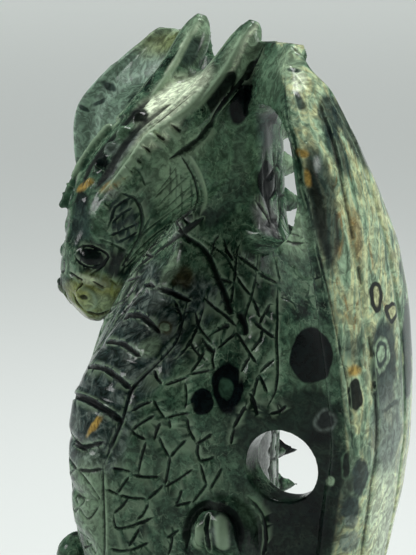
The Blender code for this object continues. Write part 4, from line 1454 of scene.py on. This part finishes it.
def jasper(tree_of_surface):
    """Polished green orbicular jasper, coloured through its whole depth, with painted highlights and
    painted shade in places.
    """
    material = bpy.data.materials.new("green_jasper")
    material.use_nodes = True
    tree = material.node_tree
    shader = tree.nodes["Principled BSDF"]
    spot = new_node(tree, "ShaderNodeTexCoord", output=3)
    millimetres = vector_node(tree, "MULTIPLY", spot, (1 / MM,) * 3)
    drift = noise_node(tree, millimetres, 0.12, 2, output=1)
    drift = vector_node(tree, "SUBTRACT", drift, (0.5,) * 3)
    drift = vector_node(tree, "MULTIPLY", drift, (DRIFT,) * 3)
    place = vector_node(tree, "ADD", millimetres, drift)
    drifted_y = new_node(tree, "ShaderNodeSeparateXYZ", (place,), 1)
    x, y, z = new_node(tree, "ShaderNodeSeparateXYZ", (millimetres,)).node.outputs
    toward = along_axis(tree, millimetres, TOWARD)
    colour, grain = stone_base(tree, millimetres)
    colour = plate_colour(tree, colour, millimetres, drifted_y, z)
    wing, on_wing = wing_colour(tree, millimetres, x, y, z)
    colour = mixed(tree, on_wing, colour, wing)
    colour = orb_colour(tree, colour, place, toward)
    turns = sorted({patch[4] for patch in PATCHES})
    frames = {turn: turned_frame(tree, place, turn) for turn in turns}
    for px, py, wide, high, turn, deep, soft, strength, name in PATCHES:
        centre = seen_place(tree_of_surface, (px, py))
        if centre is None:
            continue
        away = np.dot(VIEW_TARGET + TOWARD * VIEW_DISTANCE - centre, TOWARD) / VIEW_DISTANCE
        radii = (wide * PIXEL * away, high * PIXEL * away, deep)
        mask = patch_mask(tree, *frames[turn], centre, radii, soft, strength)
        colour = mixed(tree, mask, colour, COLOURS[name])
    colour = streaked(tree, colour, millimetres)
    # painted highlight on the rims beside cuts and on raised lines, painted shade inside the cuts
    painted_cut_shading = new_node(tree, "ShaderNodeAttribute", output=2, attribute_name="painted_cut_light_and_shade")
    colour = mixed(tree, smooth_range(tree, painted_cut_shading, 0.02, 0.8, 0.0, 0.8), colour, COLOURS["pale"])
    colour = mixed(tree, smooth_range(tree, painted_cut_shading, -0.05, -0.7, 0.0, 0.85), colour, COLOURS["black"])
    tree.links.new(colour, shader.inputs["Base Color"])
    shader.inputs["Specular IOR Level"].default_value = STONE_SPECULAR
    polish = math_node(tree, "MULTIPLY_ADD", grain, STONE_ROUGHNESS_RANGE)
    polish.node.inputs[2].default_value = STONE_ROUGHNESS
    worn = math_node(tree, "ADD", polish, smooth_range(tree, painted_cut_shading, -0.05, -0.6, 0.0, 0.3))
    tree.links.new(worn, shader.inputs["Roughness"])
    bump = tree.nodes.new("ShaderNodeBump")
    bump.inputs["Strength"].default_value = BUMP_STRENGTH
    bump.inputs["Distance"].default_value = BUMP_DISTANCE
    tree.links.new(noise_node(tree, millimetres, 1.6, 2, rough=0.6), bump.inputs["Height"])
    tree.links.new(bump.outputs[0], shader.inputs["Normal"])
    return material


def pale_floor():
    """A wide matt floor with painted shade and light: a little darker round the figure, lighter far off
    where the lights reach less.
    """
    mesh = bpy.data.meshes.new("floor")
    shape = bmesh.new()
    bmesh.ops.create_circle(shape, cap_ends=True, segments=96, radius=FLOOR_RADIUS)
    shape.to_mesh(mesh)
    shape.free()
    floor = placed("floor", mesh)
    material = bpy.data.materials.new("pale_floor")
    material.use_nodes = True
    tree = material.node_tree
    shader = tree.nodes["Principled BSDF"]
    spot = new_node(tree, "ShaderNodeTexCoord", output=3)
    reach = vector_node(tree, "LENGTH", spot, output=1)
    painted_floor_falloff = mixed(tree, smooth_range(tree, reach, 0.8, 4), FLOOR_PAINTED_SHADE_NEAR, FLOOR_PAINTED_LIGHT_FAR)
    tree.links.new(painted_floor_falloff, shader.inputs["Base Color"])
    shader.inputs["Roughness"].default_value = FLOOR_ROUGHNESS
    mesh.materials.append(material)


def soft_light(name, place, power):
    """A square soft light that looks at the figure."""
    lamp = bpy.data.lights.new(name, "AREA")
    lamp.size = LIGHT_SIZE
    lamp.energy = power
    made = placed(name, lamp)
    made.location = place
    made.rotation_euler = (Vector(VIEW_TARGET * MM) - Vector(place)).to_track_quat("-Z", "Y").to_euler()
    made.visible_camera = False


def studio():
    """Pale surroundings that light the figure from behind and beside it, and three soft lights."""
    world = bpy.data.worlds.new("studio")
    bpy.context.scene.world = world
    world.use_nodes = True
    tree = world.node_tree
    background = tree.nodes["Background"]
    way = new_node(tree, "ShaderNodeTexCoord", output=0)
    shade = smooth_range(tree, along_axis(tree, way, TOWARD), -0.1, 0.45)
    path = tree.nodes.new("ShaderNodeLightPath")
    seen = path.outputs["Is Camera Ray"]
    glossy = math_node(tree, "MULTIPLY", path.outputs["Is Glossy Ray"], GLOSSY_SHADE)
    shade = math_node(tree, "MAXIMUM", shade, glossy)
    shade = math_node(tree, "MULTIPLY", shade, math_node(tree, "SUBTRACT", 1.0, seen))
    height = new_node(tree, "ShaderNodeSeparateXYZ", (way,), 2)
    wall = mixed(tree, smooth_range(tree, height, -0.25, 0.1), WALL_LOW, WALL_HIGH)
    lit = mixed(tree, seen, SKY_LIGHT, wall)
    tree.links.new(mixed(tree, shade, lit, SKY_DARK), background.inputs[0])
    background.inputs[1].default_value = 1.0
    for name, place, power in LIGHTS:
        soft_light(name, place, power)


def photo_camera():
    """The camera at the photo's angle."""
    lens = bpy.data.cameras.new("photo_camera")
    lens.lens = SENSOR * VIEW_DISTANCE / (PHOTO_SIZE[1] * PIXEL)
    lens.sensor_width = SENSOR
    lens.sensor_fit = "AUTO"
    camera = placed("photo_camera", lens)
    turn = Matrix((ACROSS, UPWARD, TOWARD)).transposed().to_4x4()
    camera.matrix_world = Matrix.Translation((VIEW_TARGET + TOWARD * VIEW_DISTANCE) * MM) @ turn
    bpy.context.scene.camera = camera


def build():
    """The whole carving, in its material."""
    blanks, cutters = all_blanks()
    dragon = fused(blanks, cutters)
    surface, fine, painted_cut_shading = carve(dragon)
    thinned(dragon, fine, painted_cut_shading)
    dragon.data.materials.clear()
    dragon.data.materials.append(jasper(surface))
    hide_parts("dragon_carving")
    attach(dragon, "root")


build()
pale_floor()
studio()
photo_camera()
bpy.context.scene.view_settings.view_transform = "Standard"
bpy.context.view_layer.update()
